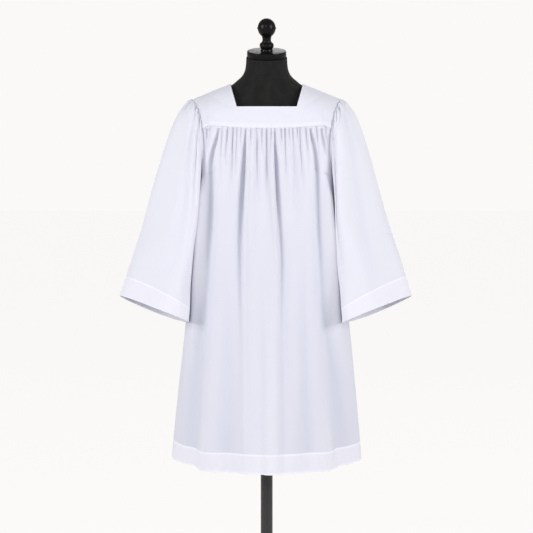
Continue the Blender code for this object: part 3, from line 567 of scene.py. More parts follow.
def stitch_run(name, lines, material, pitch):
    """Short raised stitches along lines of points on the cloth, each point with the way the cloth faces."""
    length, half_width, height = 0.78 * pitch, 0.00026, 0.00030
    vertices, faces = [], []
    for path, faces_out in lines:
        run = run_of(path)
        places = np.arange(pitch, run[-1] - pitch, pitch)
        middle, out = walk(path, run, places), walk(faces_out, run, places)
        way = walk(path, run, places + pitch / 4.0) - middle
        way /= np.linalg.norm(way, axis=1, keepdims=True)
        aside = np.cross(way, out)
        corners = (middle - way * length / 2.0, middle + aside * half_width, middle + way * length / 2.0,
                   middle - aside * half_width, middle + out * height, middle - out * height)
        first = len(vertices)
        vertices += np.stack(corners, 1).reshape(-1, 3).tolist()
        for stitch in range(len(places)):
            base = first + 6 * stitch
            for here, after in ((0, 1), (1, 2), (2, 3), (3, 0)):
                faces.append((base + after, base + here, base + 4))
                faces.append((base + here, base + after, base + 5))
    piece = new_piece(name, vertices, faces, material)
    finish_piece(piece, "cotton")
    return piece


def finish_piece(piece, slot, *nodes):
    """The piece rides with the frame, in place of the CAD nodes named. Its slot is not used."""
    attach(piece, "root")
    if nodes:
        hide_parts(*nodes)


# --- Finishes -----------------------------------------------------------------------------------------------
def add_node(tree, kind, **settings):
    node = tree.nodes.new(kind)
    for name, value in settings.items():
        setattr(node, name, value)
    return node


def maths(tree, operation, *values):
    """A Math node. Values are numbers or sockets."""
    node = add_node(tree, "ShaderNodeMath", operation=operation)
    for place, value in enumerate(values):
        if isinstance(value, (int, float)):
            node.inputs[place].default_value = value
        else:
            tree.links.new(value, node.inputs[place])
    return node.outputs[0]


def group_of(name, build):
    """A shader node group, built once."""
    tree = bpy.data.node_groups.get(name)
    if tree is None:
        tree = bpy.data.node_groups.new(name, "ShaderNodeTree")
        build(tree)
    return tree


def group_ends(tree, inputs, outputs):
    """A group's sockets, with their defaults, and its end nodes. An input without a default is a vector."""
    for name, default in inputs.items():
        kind = "NodeSocketVector" if default is None else "NodeSocketFloat"
        made = tree.interface.new_socket(name=name, in_out="INPUT", socket_type=kind)
        if default is not None:
            made.default_value = default
    for name in outputs:
        tree.interface.new_socket(name=name, in_out="OUTPUT", socket_type="NodeSocketFloat")
    return add_node(tree, "NodeGroupInput"), add_node(tree, "NodeGroupOutput")


def build_weave(tree):
    """Plain weave: threads over and under each other, with slubs where a thread runs thick."""
    entry, leave = group_ends(tree, {"Threads": None, "Thread count": 2600.0, "Slub scale": 60.0},
                              ("Height", "Slub"))
    axes = add_node(tree, "ShaderNodeSeparateXYZ")
    tree.links.new(entry.outputs["Threads"], axes.inputs[0])
    waves = []
    for axis in (0, 1):
        turns = maths(tree, "MULTIPLY", axes.outputs[axis], entry.outputs["Thread count"])
        waves.append(maths(tree, "SINE", maths(tree, "MULTIPLY", turns, pi)))
    over = maths(tree, "MULTIPLY", waves[0], waves[1])
    slubs = []
    for stretch in ((1.0, 14.0, 1.0), (14.0, 1.0, 1.0)):
        longways = add_node(tree, "ShaderNodeVectorMath", operation="MULTIPLY")
        longways.inputs[1].default_value = stretch
        tree.links.new(entry.outputs["Threads"], longways.inputs[0])
        noise = add_node(tree, "ShaderNodeTexNoise")
        noise.inputs["Detail"].default_value = 3.0
        tree.links.new(longways.outputs[0], noise.inputs["Vector"])
        tree.links.new(entry.outputs["Slub scale"], noise.inputs["Scale"])
        slubs.append(noise.outputs["Fac"])
    slub = maths(tree, "MULTIPLY", maths(tree, "ADD", *slubs), 0.5)
    tree.links.new(slub, leave.inputs["Slub"])
    raised = maths(tree, "ADD", maths(tree, "MULTIPLY", over, 0.5), slub)
    tree.links.new(raised, leave.inputs["Height"])


def build_mottle(tree):
    """Slow, soft variation over a surface, from 0 to 1."""
    entry, leave = group_ends(tree, {"Vector": None, "Scale": 8.0, "Low": 0.0, "High": 1.0}, ("Value",))
    noise = add_node(tree, "ShaderNodeTexNoise")
    noise.inputs["Detail"].default_value = 4.0
    tree.links.new(entry.outputs["Vector"], noise.inputs["Vector"])
    tree.links.new(entry.outputs["Scale"], noise.inputs["Scale"])
    spread = add_node(tree, "ShaderNodeMapRange")
    spread.inputs["From Min"].default_value = 0.3
    spread.inputs["From Max"].default_value = 0.7
    tree.links.new(noise.outputs["Fac"], spread.inputs["Value"])
    tree.links.new(entry.outputs["Low"], spread.inputs["To Min"])
    tree.links.new(entry.outputs["High"], spread.inputs["To Max"])
    tree.links.new(spread.outputs["Result"], leave.inputs["Value"])


def build_knit(tree):
    """Jersey: columns of small loops."""
    entry, leave = group_ends(tree, {"Vector": None, "Loops": 900.0}, ("Height",))
    axes = add_node(tree, "ShaderNodeSeparateXYZ")
    tree.links.new(entry.outputs["Vector"], axes.inputs[0])
    ribs = maths(tree, "SINE", maths(tree, "MULTIPLY", axes.outputs[0], entry.outputs["Loops"]))
    bend = maths(tree, "MULTIPLY", maths(tree, "ABSOLUTE", ribs), 0.0006)
    leaning = maths(tree, "ADD", axes.outputs[1], bend)
    doubled = maths(tree, "MULTIPLY", entry.outputs["Loops"], 2.0)
    loops = maths(tree, "SINE", maths(tree, "MULTIPLY", leaning, doubled))
    height = maths(tree, "ADD", maths(tree, "ABSOLUTE", ribs), maths(tree, "MULTIPLY", loops, 0.5))
    tree.links.new(height, leave.inputs["Height"])


def place_group(tree, name, build, vector, **values):
    node = add_node(tree, "ShaderNodeGroup", node_tree=group_of(name, build))
    tree.links.new(vector, node.inputs[0])
    for socket_name, value in values.items():
        node.inputs[socket_name.replace("_", " ")].default_value = value
    return node


def new_material(name, roughness, **constants):
    """A material and its Principled shader, with the constants set on the shader's own sockets."""
    material = bpy.data.materials.new(name)
    material.use_nodes = True
    tree = material.node_tree
    shader = tree.nodes["Principled BSDF"]
    shader.inputs["Roughness"].default_value = roughness
    for socket_name, value in constants.items():
        shader.inputs[socket_name.replace("_", " ")].default_value = value
    return material, tree, shader


def bump(tree, shader, height, distance, strength=1.0):
    node = add_node(tree, "ShaderNodeBump")
    node.inputs["Distance"].default_value = distance
    node.inputs["Strength"].default_value = strength
    tree.links.new(height, node.inputs["Height"])
    tree.links.new(node.outputs["Normal"], shader.inputs["Normal"])


def soft_mottle(tree, vector, scale, low=0.0, high=1.0):
    node = place_group(tree, "soft_mottle", build_mottle, vector, Scale=scale, Low=low, High=high)
    return node.outputs["Value"]


def share_of(colour, share):
    return [channel * share for channel in colour]


def finish_of(mix, colours):
    """A cloth's or thread's finish, mixed when it's first asked for and then used again."""
    return bpy.data.materials.get(FINISH_NAMES[mix]) or mix(FINISH_NAMES[mix], colours)


def tint(tree, colour_a, colour_b, factor):
    """A colour between two, by a factor socket."""
    node = add_node(tree, "ShaderNodeMix", data_type="RGBA")
    for value, place in ((colour_a, 6), (colour_b, 7)):
        if isinstance(value, bpy.types.NodeSocket):
            tree.links.new(value, node.inputs[place])
        else:
            node.inputs[place].default_value = (*value, 1.0)
    tree.links.new(factor, node.inputs[0])
    return node.outputs[2]


def cotton_material(name, colours):
    """Thin white cotton: faintly sheer where single, whiter and more opaque where it lies double, with
    painted shade in fold troughs and down the skirt, and painted highlights on ridges, on the sleeves and
    along pressed edges.
    """
    material, tree, shader = new_material(name, 0.82, Specular_IOR_Level=0.25, Sheen_Weight=0.30,
                                          Sheen_Roughness=0.5)
    threads = add_node(tree, "ShaderNodeUVMap", uv_map="threads").outputs["UV"]
    layers_and_painted_light = add_node(tree, "ShaderNodeAttribute", attribute_name="layers_and_painted_light").outputs["Fac"]
    weave = place_group(tree, "plain_weave", build_weave, threads, Thread_count=2600.0, Slub_scale=55.0)
    mottle = soft_mottle(tree, threads, 9.0)
    single = tint(tree, share_of(colours.cotton, 0.985), colours.cotton, mottle)
    # Painted shade: a layer value below 0 darkens the cotton towards the fold shade colour.
    with_fold_shade = tint(tree, single, colours.sheer, maths(tree, "MULTIPLY", layers_and_painted_light, -1.0))
    # Real doubling in hems, cuffs and seam bands; on single cloth the same mix is a painted highlight on
    # ridges and sleeves.
    cloth = tint(tree, with_fold_shade, colours.doubled, layers_and_painted_light)
    # Painted highlight along pressed edges, where the layer value goes up to 2.
    edge = tint(tree, cloth, share_of(colours.doubled, 1.12), maths(tree, "SUBTRACT", layers_and_painted_light, 1.0))
    slub = maths(tree, "MULTIPLY", weave.outputs["Slub"], 0.10)
    shade = tint(tree, edge, share_of(colours.cotton, 0.93), slub)
    tree.links.new(shade, shader.inputs["Base Color"])
    tree.links.new(soft_mottle(tree, threads, 30.0, 0.78, 0.88), shader.inputs["Roughness"])
    bump(tree, shader, weave.outputs["Height"], 0.00006)
    return material


def thread_material(name, colours):
    material, tree, shader = new_material(name, 0.55, Sheen_Weight=0.2)
    place = add_node(tree, "ShaderNodeTexCoord").outputs["Object"]
    shade = tint(tree, share_of(colours.thread, 0.94), colours.thread, soft_mottle(tree, place, 220.0))
    tree.links.new(shade, shader.inputs["Base Color"])
    return material


FINISH_NAMES = {cotton_material: "white_cotton_lawn", thread_material: "white_sewing_thread"}


def jersey_material(colours):
    """Black knitted cover with a dull bloom and a little lint."""
    material, tree, shader = new_material("black_form_jersey", 0.86, Specular_IOR_Level=0.15,
                                          Sheen_Weight=0.02, Sheen_Roughness=0.6)
    threads = add_node(tree, "ShaderNodeUVMap", uv_map="threads").outputs["UV"]
    knit = place_group(tree, "jersey_knit", build_knit, threads, Loops=2600.0)
    lint = soft_mottle(tree, threads, 25.0)
    shade = tint(tree, share_of(colours.jersey, 0.75), share_of(colours.jersey, 1.35), lint)
    tree.links.new(shade, shader.inputs["Base Color"])
    tree.links.new(soft_mottle(tree, threads, 60.0, 0.80, 0.92), shader.inputs["Roughness"])
    bump(tree, shader, knit.outputs["Height"], 0.00012, 0.8)
    return material


def lacquer_material(colours):
    """Gloss black lacquer with faint grain under it and dust-fine scuffs."""
    material, tree, shader = new_material("gloss_black_lacquer", 0.35, Specular_IOR_Level=0.08,
                                          Coat_Weight=0.05, Coat_Roughness=0.08)
    place = add_node(tree, "ShaderNodeTexCoord").outputs["Object"]
    grain = soft_mottle(tree, place, 90.0)
    shade = tint(tree, share_of(colours.lacquer, 0.8), share_of(colours.lacquer, 1.3), grain)
    tree.links.new(shade, shader.inputs["Base Color"])
    tree.links.new(soft_mottle(tree, place, 140.0, 0.24, 0.38), shader.inputs["Roughness"])
    bump(tree, shader, grain, 0.00004, 0.5)
    return material


def paint_material(colours):
    """Satin black powder paint: a fine orange peel, with small worn, duller patches."""
    material, tree, shader = new_material("satin_black_paint", 0.45, Coat_Weight=0.1, Coat_Roughness=0.3)
    place = add_node(tree, "ShaderNodeTexCoord").outputs["Object"]
    peel, worn = soft_mottle(tree, place, 700.0), soft_mottle(tree, place, 35.0, 0.36, 0.56)
    shade = tint(tree, share_of(colours.paint, 0.85), share_of(colours.paint, 1.25), peel)
    tree.links.new(shade, shader.inputs["Base Color"])
    tree.links.new(worn, shader.inputs["Roughness"])
    bump(tree, shader, peel, 0.00008, 0.6)
    return material


# --- Operators: the surplice --------------------------------------------------------------------------------
def cloth_and_thread(scene):
    colours = scene.surplice_colours
    return scene.surplice_cloth, finish_of(cotton_material, colours), finish_of(thread_material, colours)


class SURPLICE_OT_yoke(bpy.types.Operator):
    """Lays the front and back of the square-necked yoke over the shoulders"""
    bl_idname = "surplice.yoke"
    bl_label = "Sew the Yoke"

    def execute(self, context):
        settings, cotton, thread = cloth_and_thread(context.scene)
        for side in ("front", "back"):
            points, layers_and_painted_light, present, lines = yoke_points(side, settings)
            yoke = sew_sheet("yoke_" + side, points, layers_and_painted_light, cotton, settings, present=present,
                             turned=side == "front")
            finish_piece(yoke, "cotton", side + "_yoke")
            stitches = stitch_run("yoke_stitching_" + side, lines, thread, settings.stitch_pitch)
        return {"FINISHED"}


STRAP_COLUMNS, MIDDLE_COLUMNS = 64, 84
YOKE_LAYERS, YOKE_BAND_LAYERS, STRAP_WIDTH = 0.35, 0.45, 0.09


def yoke_points(side, cloth):
    """The yoke's outer face as rows from the shoulder to the seam, with the neck's columns left out above."""
    seam = seam_angle(side)
    corner = armhole_angle(NECK_LOW_Z[side] - 0.006)
    strap = np.linspace(0.0, 1.0, 60) ** 1.15
    chest = np.concatenate((np.linspace(0.0, 0.75, 38)[1:], np.linspace(0.75, 1.0, 26)[1:]))
    ease = strap * strap * (1.5 - 0.5 * strap)
    neck_x = np.concatenate((NECK_TOP_X + (NECK_LOW_X - NECK_TOP_X) * ease, np.full(len(chest), NECK_LOW_X)))
    seam_z = seam_height(side, NECK_LOW_X)
    neck_z = np.concatenate((NECK_TOP_Z - (NECK_TOP_Z - NECK_LOW_Z[side]) * ease,
                             NECK_LOW_Z[side] + (seam_z - NECK_LOW_Z[side]) * chest))
    angles = np.concatenate((corner * strap, corner + (seam - corner) * chest))
    arm_x, arm_z = armhole_at(side, angles)
    part = np.linspace(0.0, 1.0, STRAP_COLUMNS + 1)
    x = neck_x[:, None] + (arm_x - neck_x)[:, None] * part
    z = neck_z[:, None] + (arm_z - neck_z)[:, None] * part
    lower = np.concatenate((np.zeros(len(strap)), chest))[:, None]
    to_seam = smooth(0.5, 1.0, lower)
    line = neck_z[:, None] + (seam_height(side, x) - seam_z)
    line += (arm_z - neck_z - seam_height(side, arm_x) + seam_z)[:, None] * part
    z = z + (line - z) * to_seam
    middle = np.linspace(-1.0, 1.0, MIDDLE_COLUMNS + 1)[1:-1]
    middle_x = neck_x[:, None] * middle
    up = (neck_z - seam_z) / (NECK_LOW_Z[side] - seam_z)
    middle_seam = seam_height(side, middle_x)
    middle_z = middle_seam + (NECK_LOW_Z[side] - middle_seam) * up[:, None]
    x = np.concatenate((-x[:, ::-1], middle_x, x), 1)
    z = np.concatenate((z[:, ::-1], middle_z, z), 1)
    present = np.ones(x.shape, bool)
    present[:len(strap) - 1, STRAP_COLUMNS + 1:-STRAP_COLUMNS - 1] = False
    points = np.stack((x, yoke_depth(side, x, z) * SIDES[side], z), -1)
    out = facing(points)
    out *= np.sign((out[..., 1:2] * SIDES[side] + out[..., 2:3] * 0.5))
    above = z - seam_height(side, x)
    edge_slope = (NECK_TOP_X - NECK_LOW_X) / (NECK_TOP_Z - NECK_LOW_Z[side])
    from_side = np.abs(x) - NECK_LOW_X - np.maximum(0.0, z - NECK_LOW_Z[side]) * edge_slope
    from_neck = np.hypot(np.maximum(from_side, 0.0), np.maximum(NECK_LOW_Z[side] - z, 0.0))
    neck_band = 1.0 - smooth(0.0044, 0.0052, from_neck)
    band = np.maximum(1.0 - smooth(cloth.band_depth - 0.0004, cloth.band_depth + 0.0004, above), neck_band)
    from_arm = (1.0 - np.concatenate((part[::-1], np.zeros(MIDDLE_COLUMNS - 1), part))) * STRAP_WIDTH
    dips = np.maximum(1.0 - smooth(0.0, 0.0018, above), 1.0 - smooth(0.0, 0.0026, from_arm)[None, :])
    dips = np.maximum(dips, 0.6 * (1.0 - smooth(0.0, 0.0030, np.abs(points[..., 1]))))
    lift = 0.0003 * band - cloth.seam_dip * dips - fold_depths(YOKE_FOLDS[side], z, x, 2.0, PER_METRE)
    ripples = 0.0006 * np.sin(x * 61.0 + z * 37.0)
    lift += ripples * smooth(0.012, 0.03, above) * smooth(0.008, 0.02, from_neck)
    points = points + out * lift[..., None]
    layers_and_painted_light = YOKE_LAYERS + YOKE_BAND_LAYERS * band
    return points, layers_and_painted_light, present, yoke_stitch_lines(points, out, above, cloth, present, len(strap) - 1)


def yoke_stitch_lines(points, out, above, cloth, present, corner_row):
    """One line of stitching above the gathers and one beside the square neck."""
    lines = []
    row_of = np.argmin(np.where(present, np.abs(above - (cloth.band_depth - 0.0016)), np.inf), 0)
    columns = np.arange(points.shape[1])[6:-6]
    lines.append((points[row_of[columns], columns], out[row_of[columns], columns]))
    inset = 3
    left, right = STRAP_COLUMNS - inset, points.shape[1] - 1 - STRAP_COLUMNS + inset
    low_row = corner_row + 2
    across = np.arange(left, right + 1)
    rows = np.arange(2, low_row + 1)
    lines.append((points[rows, left], out[rows, left]))
    lines.append((points[low_row, across], out[low_row, across]))
    lines.append((points[rows, right], out[rows, right]))
    return lines


class SURPLICE_OT_body(bpy.types.Operator):
    """Hangs the gathered front and back of the body from the yoke"""
    bl_idname = "surplice.body"
    bl_label = "Hang the Body"

    def execute(self, context):
        settings, cotton, thread = cloth_and_thread(context.scene)
        for side, seed in (("front", 11), ("back", 23)):
            points, layers_and_painted_light, line = panel_points(side, settings, seed)
            panel = sew_sheet("body_" + side, points, layers_and_painted_light, cotton, settings, turned=side == "front")
            finish_piece(panel, "cotton", side + "_panel")
            stitches = stitch_run("hem_stitching_" + side, [line], thread, settings.stitch_pitch)
        return {"FINISHED"}


PANEL_COLUMNS = 236
TUCKED_ROWS, SKIRT_ROWS = 2, 90


def panel_points(side, cloth, seed):
    """A panel's outer face, from its allowance under the yoke seam, past the armholes, to the hem."""
    across = np.linspace(-1.0, 1.0, PANEL_COLUMNS + 1)
    edge = armhole_edge(side, 52)
    seam_x, edge_z = abs(edge[0, 0]), edge[0, 2]
    drop = np.concatenate((np.linspace(0.0, 0.08, 11), np.linspace(0.08, 1.0, 50)[1:]))
    edge_rows = np.interp(drop, np.linspace(0.0, 1.0, len(edge)), edge[:, 2])
    edge_x = np.interp(drop, np.linspace(0.0, 1.0, len(edge)), edge[:, 0])
    edge_turn = np.append(section_turn(side, edge_x[:-1], edge_rows[:-1]), pi / 2.0)
    top_turn = even_turns(side, across, np.array((edge_z,)), edge_turn[:1])[0]
    top_x = body_section(side, top_turn, edge_z + 0.0 * top_turn)[0]
    top_z = seam_height(side, top_x)
    hem_top = 1.0 - cloth.hem_depth / (UNDERARM_Z - HEM_Z)
    crisp = 0.0004
    skirt = np.concatenate((np.linspace(0.0, hem_top - crisp, SKIRT_ROWS)[1:], (hem_top + crisp,),
                            np.linspace(hem_top + 3.0 * crisp, 1.0 - 3.0 * crisp, 10),
                            (1.0 - 2.0 * crisp, 1.0)))
    fan = smooth(0.35, 1.0, np.abs(across)) * (edge_rows - edge_z - (UNDERARM_Z - edge_z) * drop)[:, None]
    z = np.concatenate((top_z + (UNDERARM_Z - top_z) * drop[:, None] + fan,
                        UNDERARM_Z + (HEM_Z - UNDERARM_Z) * skirt[:, None] + 0.0 * top_z))
    edge_turn = np.concatenate((edge_turn, np.full(len(skirt), pi / 2.0)))
    turn = even_turns(side, across, z.mean(1), edge_turn)
    turn[0] = section_turn(side, top_x, top_z)
    x, y, face_x, face_y = body_section(side, turn, z)
    below = top_z - z
    plain = np.stack((np.abs(x), y, z), -1)
    from_edge = np.min([np.linalg.norm(plain - point, axis=-1) for point in plain[:, -1]], 0)
    free = smooth(0.0, 0.014, from_edge)
    inwards = cloth.fold_share * fold_depths(BODY_FOLDS[side], z, x, units=PER_METRE)
    placed = [gather(*(measure / PER_METRE for measure in row), 0.0030) for row in GATHERS[side]]
    fine = gather_folds(seed, cloth.pleats, seam_x * 0.98, 0.0014, (0.025, 0.110), cloth.pleat_depth, 0.0017)
    inwards += cloth.gather_share * fold_depths(placed + fine, -below, x, 1.6)
    inwards *= smooth(0.0, 0.004, below)
    # Painted shade and highlight: darker where a fold runs deeper than its row's mean, lighter where the
    # cloth stands out, and darker again down the skirt towards the hem.
    painted_shade_and_highlight = np.clip((inwards - inwards.mean(1, keepdims=True)) / cloth.fold_shade_depth, -0.8, 1.0) * free
    painted_shade_and_highlight += cloth.low_painted_shade * (1.0 - smooth(0.60, 1.20, z))
    puff = cloth.puff * smooth(0.0, 0.006, below) * (1.0 - smooth(0.03, 0.16, below))
    round_body = np.arctan2(x, np.abs(y))
    waves = 0.0012 * np.sin(round_body * 15.0 + 1.3 * np.sin(z * 9.0)) * smooth(0.1, 0.3, below)
    waves += 0.0022 * np.sin(round_body * 6.0 + 2.0 * z + seed) * smooth(0.25, 0.6, below)
    dip = cloth.seam_dip * (1.0 - smooth(0.0, 0.0030, from_edge))
    seam = cloth.seam_dip * (1.0 - smooth(0.0, 0.0025, below))
    lift = (puff + waves - inwards) * free - dip - seam
    points = np.stack((x + face_x * lift, y + face_y * lift, z), -1)
    tucked = []
    for under, rise in ((0.0034, cloth.allowance), (0.0030, 0.002)):
        depth = yoke_depth(side, top_x, top_z + rise) - under
        tucked.append(np.stack((top_x, depth * SIDES[side], top_z + rise), -1))
    points = np.concatenate((np.stack(tucked), points))
    hem_row = TUCKED_ROWS + len(drop) + SKIRT_ROWS - 1
    layers_and_painted_light = np.concatenate((np.zeros(TUCKED_ROWS + len(drop)), skirt > hem_top)).astype(float)
    # Painted highlight along the hem's upper fold and its lower edge.
    layers_and_painted_light[hem_row:hem_row + 2] = layers_and_painted_light[-3:] = EDGE_HIGHLIGHT_LAYERS
    layers_and_painted_light = np.repeat(layers_and_painted_light[:, None], PANEL_COLUMNS + 1, 1)
    # The painted shade and highlight go only onto single cloth.
    layers_and_painted_light[TUCKED_ROWS:] -= painted_shade_and_highlight * (layers_and_painted_light[TUCKED_ROWS:] < HEM_LAYERS)
    out = facing(points)
    out *= np.sign(out[..., 1:2] * SIDES[side] + 1e-9)
    return points, layers_and_painted_light, (stitch_path(points, hem_row), out[hem_row])


class SURPLICE_OT_sleeves(bpy.types.Operator):
    """Sets the two wide bell sleeves into their armholes"""
    bl_idname = "surplice.sleeves"
    bl_label = "Set the Sleeves"

    def execute(self, context):
        settings, cotton, thread = cloth_and_thread(context.scene)
        for wearer_side, seed in (("left", 37), ("right", 41)):
            points, layers_and_painted_light, line = sleeve_points(wearer_side, settings, seed)
            sleeve = sew_sheet("sleeve_" + wearer_side, points, layers_and_painted_light, cotton, settings, closed=True,
                               turned=wearer_side == "right")
            finish_piece(sleeve, "cotton", wearer_side + "_sleeve")
            stitches = stitch_run("cuff_stitching_" + wearer_side, [line], thread, settings.stitch_pitch)
        return {"FINISHED"}


SLEEVE_COLUMNS = 288
# Painted highlight: the sleeves' single cloth is painted halfway towards the doubled colour.
SLEEVE_PAINTED_HIGHLIGHT, SLEEVE_PUFF = 0.5, 0.7
# Rows of pleats round the sleeve's head: how many, their lengths in stations, depth, and width in degrees.
HEAD_PLEATS = ((15, (0.9, 2.6), 0.0052, 2.4), (30, (0.3, 1.0), 0.0026, 1.3))


def ring_of(stations, angle, squareness):
    """Smooth rings through their outer, inner, front and back points."""
    outer, inner, front, back = (stations[:, corner][:, None, :] for corner in range(4))
    turn = angle[None, :, None]
    centre, lopsided = (outer + inner + front + back) / 4.0, (outer + inner - front - back) / 4.0
    corner = squareness * np.where((turn > pi / 2.0) & (turn < pi), np.sin(2.0 * turn) ** 2, 0.0)
    return (centre + (outer - inner) / 2.0 * np.cos(turn) + (front - back) / 2.0 * np.sin(turn)
            + lopsided * np.cos(2.0 * turn) + corner * (front + inner - 2.0 * centre))


def plain_sleeve(places, angle, squareness):
    """The sleeve without its folds: rings from 0, the armhole, to the cuff."""
    armhole = np.where((angle <= pi)[:, None], armhole_point("front", np.minimum(angle, pi)),
                       armhole_point("back", np.clip(2.0 * pi - angle, 0.0, pi)))
    rings = ring_of(smooth_rows(SLEEVE_STATIONS, np.maximum(places - 1.0, 0.0)), angle,
                    np.interp(places, (1.5, 4.5), squareness)[:, None, None])
    near = np.clip(places, 0.0, 1.0)[:, None, None]
    rise = SLEEVE_HEAD_RISE * 4.0 * near[..., 0] * (1.0 - near[..., 0]) * smooth(-0.2, 0.6, np.cos(angle))
    points = armhole + (rings - armhole) * near
    points[..., 2] += rise
    return points


def clear_of_body(points, places):
    """The points moved outwards where they would touch the body's side."""
    x, y, z = (points[..., axis] for axis in range(3))
    for side in ("front", "back"):
        across = np.minimum(np.abs(y) / body_depth(side, z), 1.0)
        power = body_roundness(side, z)
        skin = body_half_width(z) * (1.0 - across ** power) ** (1.0 / power)
        wanted = skin + SLEEVE_CLEARANCE * smooth(0.0, 2.0, places)[:, None]
        touching = (np.sign(y) * SIDES[side] >= 0.0) & (across < 1.0)
        beside_body = 1.0 - smooth(YOKE_SEAM_Z[side] - 0.045, YOKE_SEAM_Z[side] - 0.005, z)
        x = np.where(touching, x + np.maximum(wanted - x, 0.0) * beside_body, x)
    return np.stack((x, y, z), -1)


def sleeve_points(wearer_side, cloth, seed):
    """A sleeve's outer face, from its allowance inside the armhole to the cuff."""
    crisp = 0.006
    places = np.concatenate((np.linspace(0.0, 1.0, 26), np.linspace(1.0, 3.0, 30)[1:],
                             np.linspace(3.0, CUFF_BAND - crisp, 46)[1:],
                             np.linspace(CUFF_BAND + crisp, CUFF, 12)))
    angle = np.linspace(0.0, 2.0 * pi, SLEEVE_COLUMNS, endpoint=False)
    points = plain_sleeve(places, angle, SLEEVE_CORNER[wearer_side])
    out = facing(points, closed=True)
    centre = points.mean(1, keepdims=True)
    out *= np.sign(((points - centre) * out).sum(-1).mean())
    degrees = np.degrees(angle)[None, :] + 0.0 * places[:, None]
    along = places[:, None] + 0.0 * degrees
    inwards = fold_depths(SLEEVE_FOLDS[wearer_side], along, degrees, units=SLEEVE_UNITS)
    head = np.degrees(np.arccos(np.cos(angle)))[None, :] * np.where(angle > pi, -1.0, 1.0)
    for number, (count, lengths, deep, wide) in enumerate(HEAD_PLEATS):
        pleats = gather_folds(seed + number, count, 88.0, 2.0, lengths, deep, wide)
        inwards += fold_depths(pleats, -along, head + 0.0 * along, 1.6) * smooth(-0.05, 0.35, np.cos(angle))
    inwards *= smooth(0.0, 0.10, along)
    puff = SLEEVE_PUFF * cloth.puff * smooth(0.0, 0.22, along) * (1.0 - smooth(0.6, 2.2, along))
    puff *= smooth(-0.1, 0.5, np.cos(angle))
    waves = 0.0014 * np.sin(degrees * 0.11 + 1.1 * along + seed) * smooth(1.0, 3.0, along)
    seam = cloth.seam_dip * (1.0 - smooth(0.0, 0.10, along))
    points = points + out * (puff + waves - inwards - seam)[..., None]
    stretched = ARM_CENTRE_X + (points[..., 0] - ARM_CENTRE_X) * SLEEVE_REACH[wearer_side]
    points[..., 0] = np.where(along > 0.0, stretched, points[..., 0])
    points[1:] = clear_of_body(points[1:], places[1:])
    under = [points[0] + (centre[0] - points[0]) * np.array((0.0, deeper, deeper)) - (further, 0.0, 0.0)
             for deeper, further in ((0.045, 0.0070), (0.008, 0.0011))]
    points = np.concatenate((np.stack(under), points))
    band_row = int(np.searchsorted(places, CUFF_BAND))
    layers_and_painted_light = np.where(places > CUFF_BAND, 1.0, SLEEVE_PAINTED_HIGHLIGHT)
    # Painted highlight along the cuff band's fold and the cuff's edge.
    layers_and_painted_light[band_row] = layers_and_painted_light[-1] = EDGE_HIGHLIGHT_LAYERS
    layers_and_painted_light = np.repeat(np.append(np.full(TUCKED_ROWS, SLEEVE_PAINTED_HIGHLIGHT), layers_and_painted_light)[:, None], SLEEVE_COLUMNS, 1)
    # Painted shade in the sleeve's fold troughs and painted highlight on its ridges, on single cloth only.
    sheer = np.clip(inwards / cloth.fold_shade_depth, -0.5, 1.0)
    layers_and_painted_light[TUCKED_ROWS:] -= sheer * (layers_and_painted_light[TUCKED_ROWS:] < HEM_LAYERS)
    points[..., 0] *= MIRROR[wearer_side]
    out[..., 0] *= MIRROR[wearer_side]
    path = stitch_path(points, TUCKED_ROWS + band_row)
    closing = np.concatenate((path, path[:1])), np.concatenate((out[band_row], out[band_row][:1]))
    return points, layers_and_painted_light, closing


# --- Operators: the dress form and its stand ----------------------------------------------------------------
class SURPLICE_OT_dress_form(bpy.types.Operator):
    """Pads the limbless torso and stretches its black jersey cover over it"""
    bl_idname = "surplice.dress_form"
    bl_label = "Pad the Dress Form"

    def execute(self, context):
        columns = FORM_COLUMNS
        rows = np.arange(0.0, len(FORM_RINGS) - 1 + 1e-6, 0.125)
        ring = smooth_rows(FORM_RINGS, rows)
        height, wide, deep, roundness, tilt = (ring[:, column][:, None] for column in range(5))
        angle = np.linspace(0.0, 2.0 * pi, columns, endpoint=False)[None, :]
        power = 2.0 / roundness
        x = wide * np.abs(np.cos(angle)) ** power * np.sign(np.cos(angle))
        y = deep * np.abs(np.sin(angle)) ** power * np.sign(np.sin(angle))
        z = height + y * tan(NECK_TILT) * tilt
        points = np.stack((x, y, z), -1)
        groove = sum(np.exp(-((np.degrees(angle) - seam) / FORM_SEAM_WIDTH) ** 2) for seam in FORM_SEAMS)
        points[..., :2] *= 1.0 - (FORM_SEAM_DEPTH * groove / np.maximum(np.hypot(x, y), 0.03))[..., None]
        count = len(rows)
        faces = grid_faces(count, columns, np.ones((count, columns), bool), closed=True).tolist()
        top, bottom = count * columns, count * columns + 1
        vertices = np.concatenate((points.reshape(-1, 3), [points[0].mean(0)], [points[-1].mean(0)]))
        for here_column in range(columns):
            next_column = (here_column + 1) % columns
            faces.append((here_column, next_column, top))
            faces.append(((count - 1) * columns + next_column, (count - 1) * columns + here_column, bottom))
        form = new_piece("dress_form", vertices, faces, jersey_material(context.scene.surplice_colours))
        round_the_body = np.arctan2(vertices[:, 1], vertices[:, 0]) * FORM_MEAN_RADIUS
        lay_threads(form.data, np.stack((round_the_body, vertices[:, 2]), -1))
        activate(form)
        bpy.ops.object.mode_set(mode="EDIT")
        bpy.ops.mesh.select_all(action="SELECT")
        bpy.ops.mesh.normals_make_consistent(inside=False)
        bpy.ops.object.mode_set(mode="OBJECT")
        bpy.ops.object.shade_smooth_by_angle(angle=radians(40.0))
        finish_piece(form, "form_jersey", "form_torso")
        return {"FINISHED"}


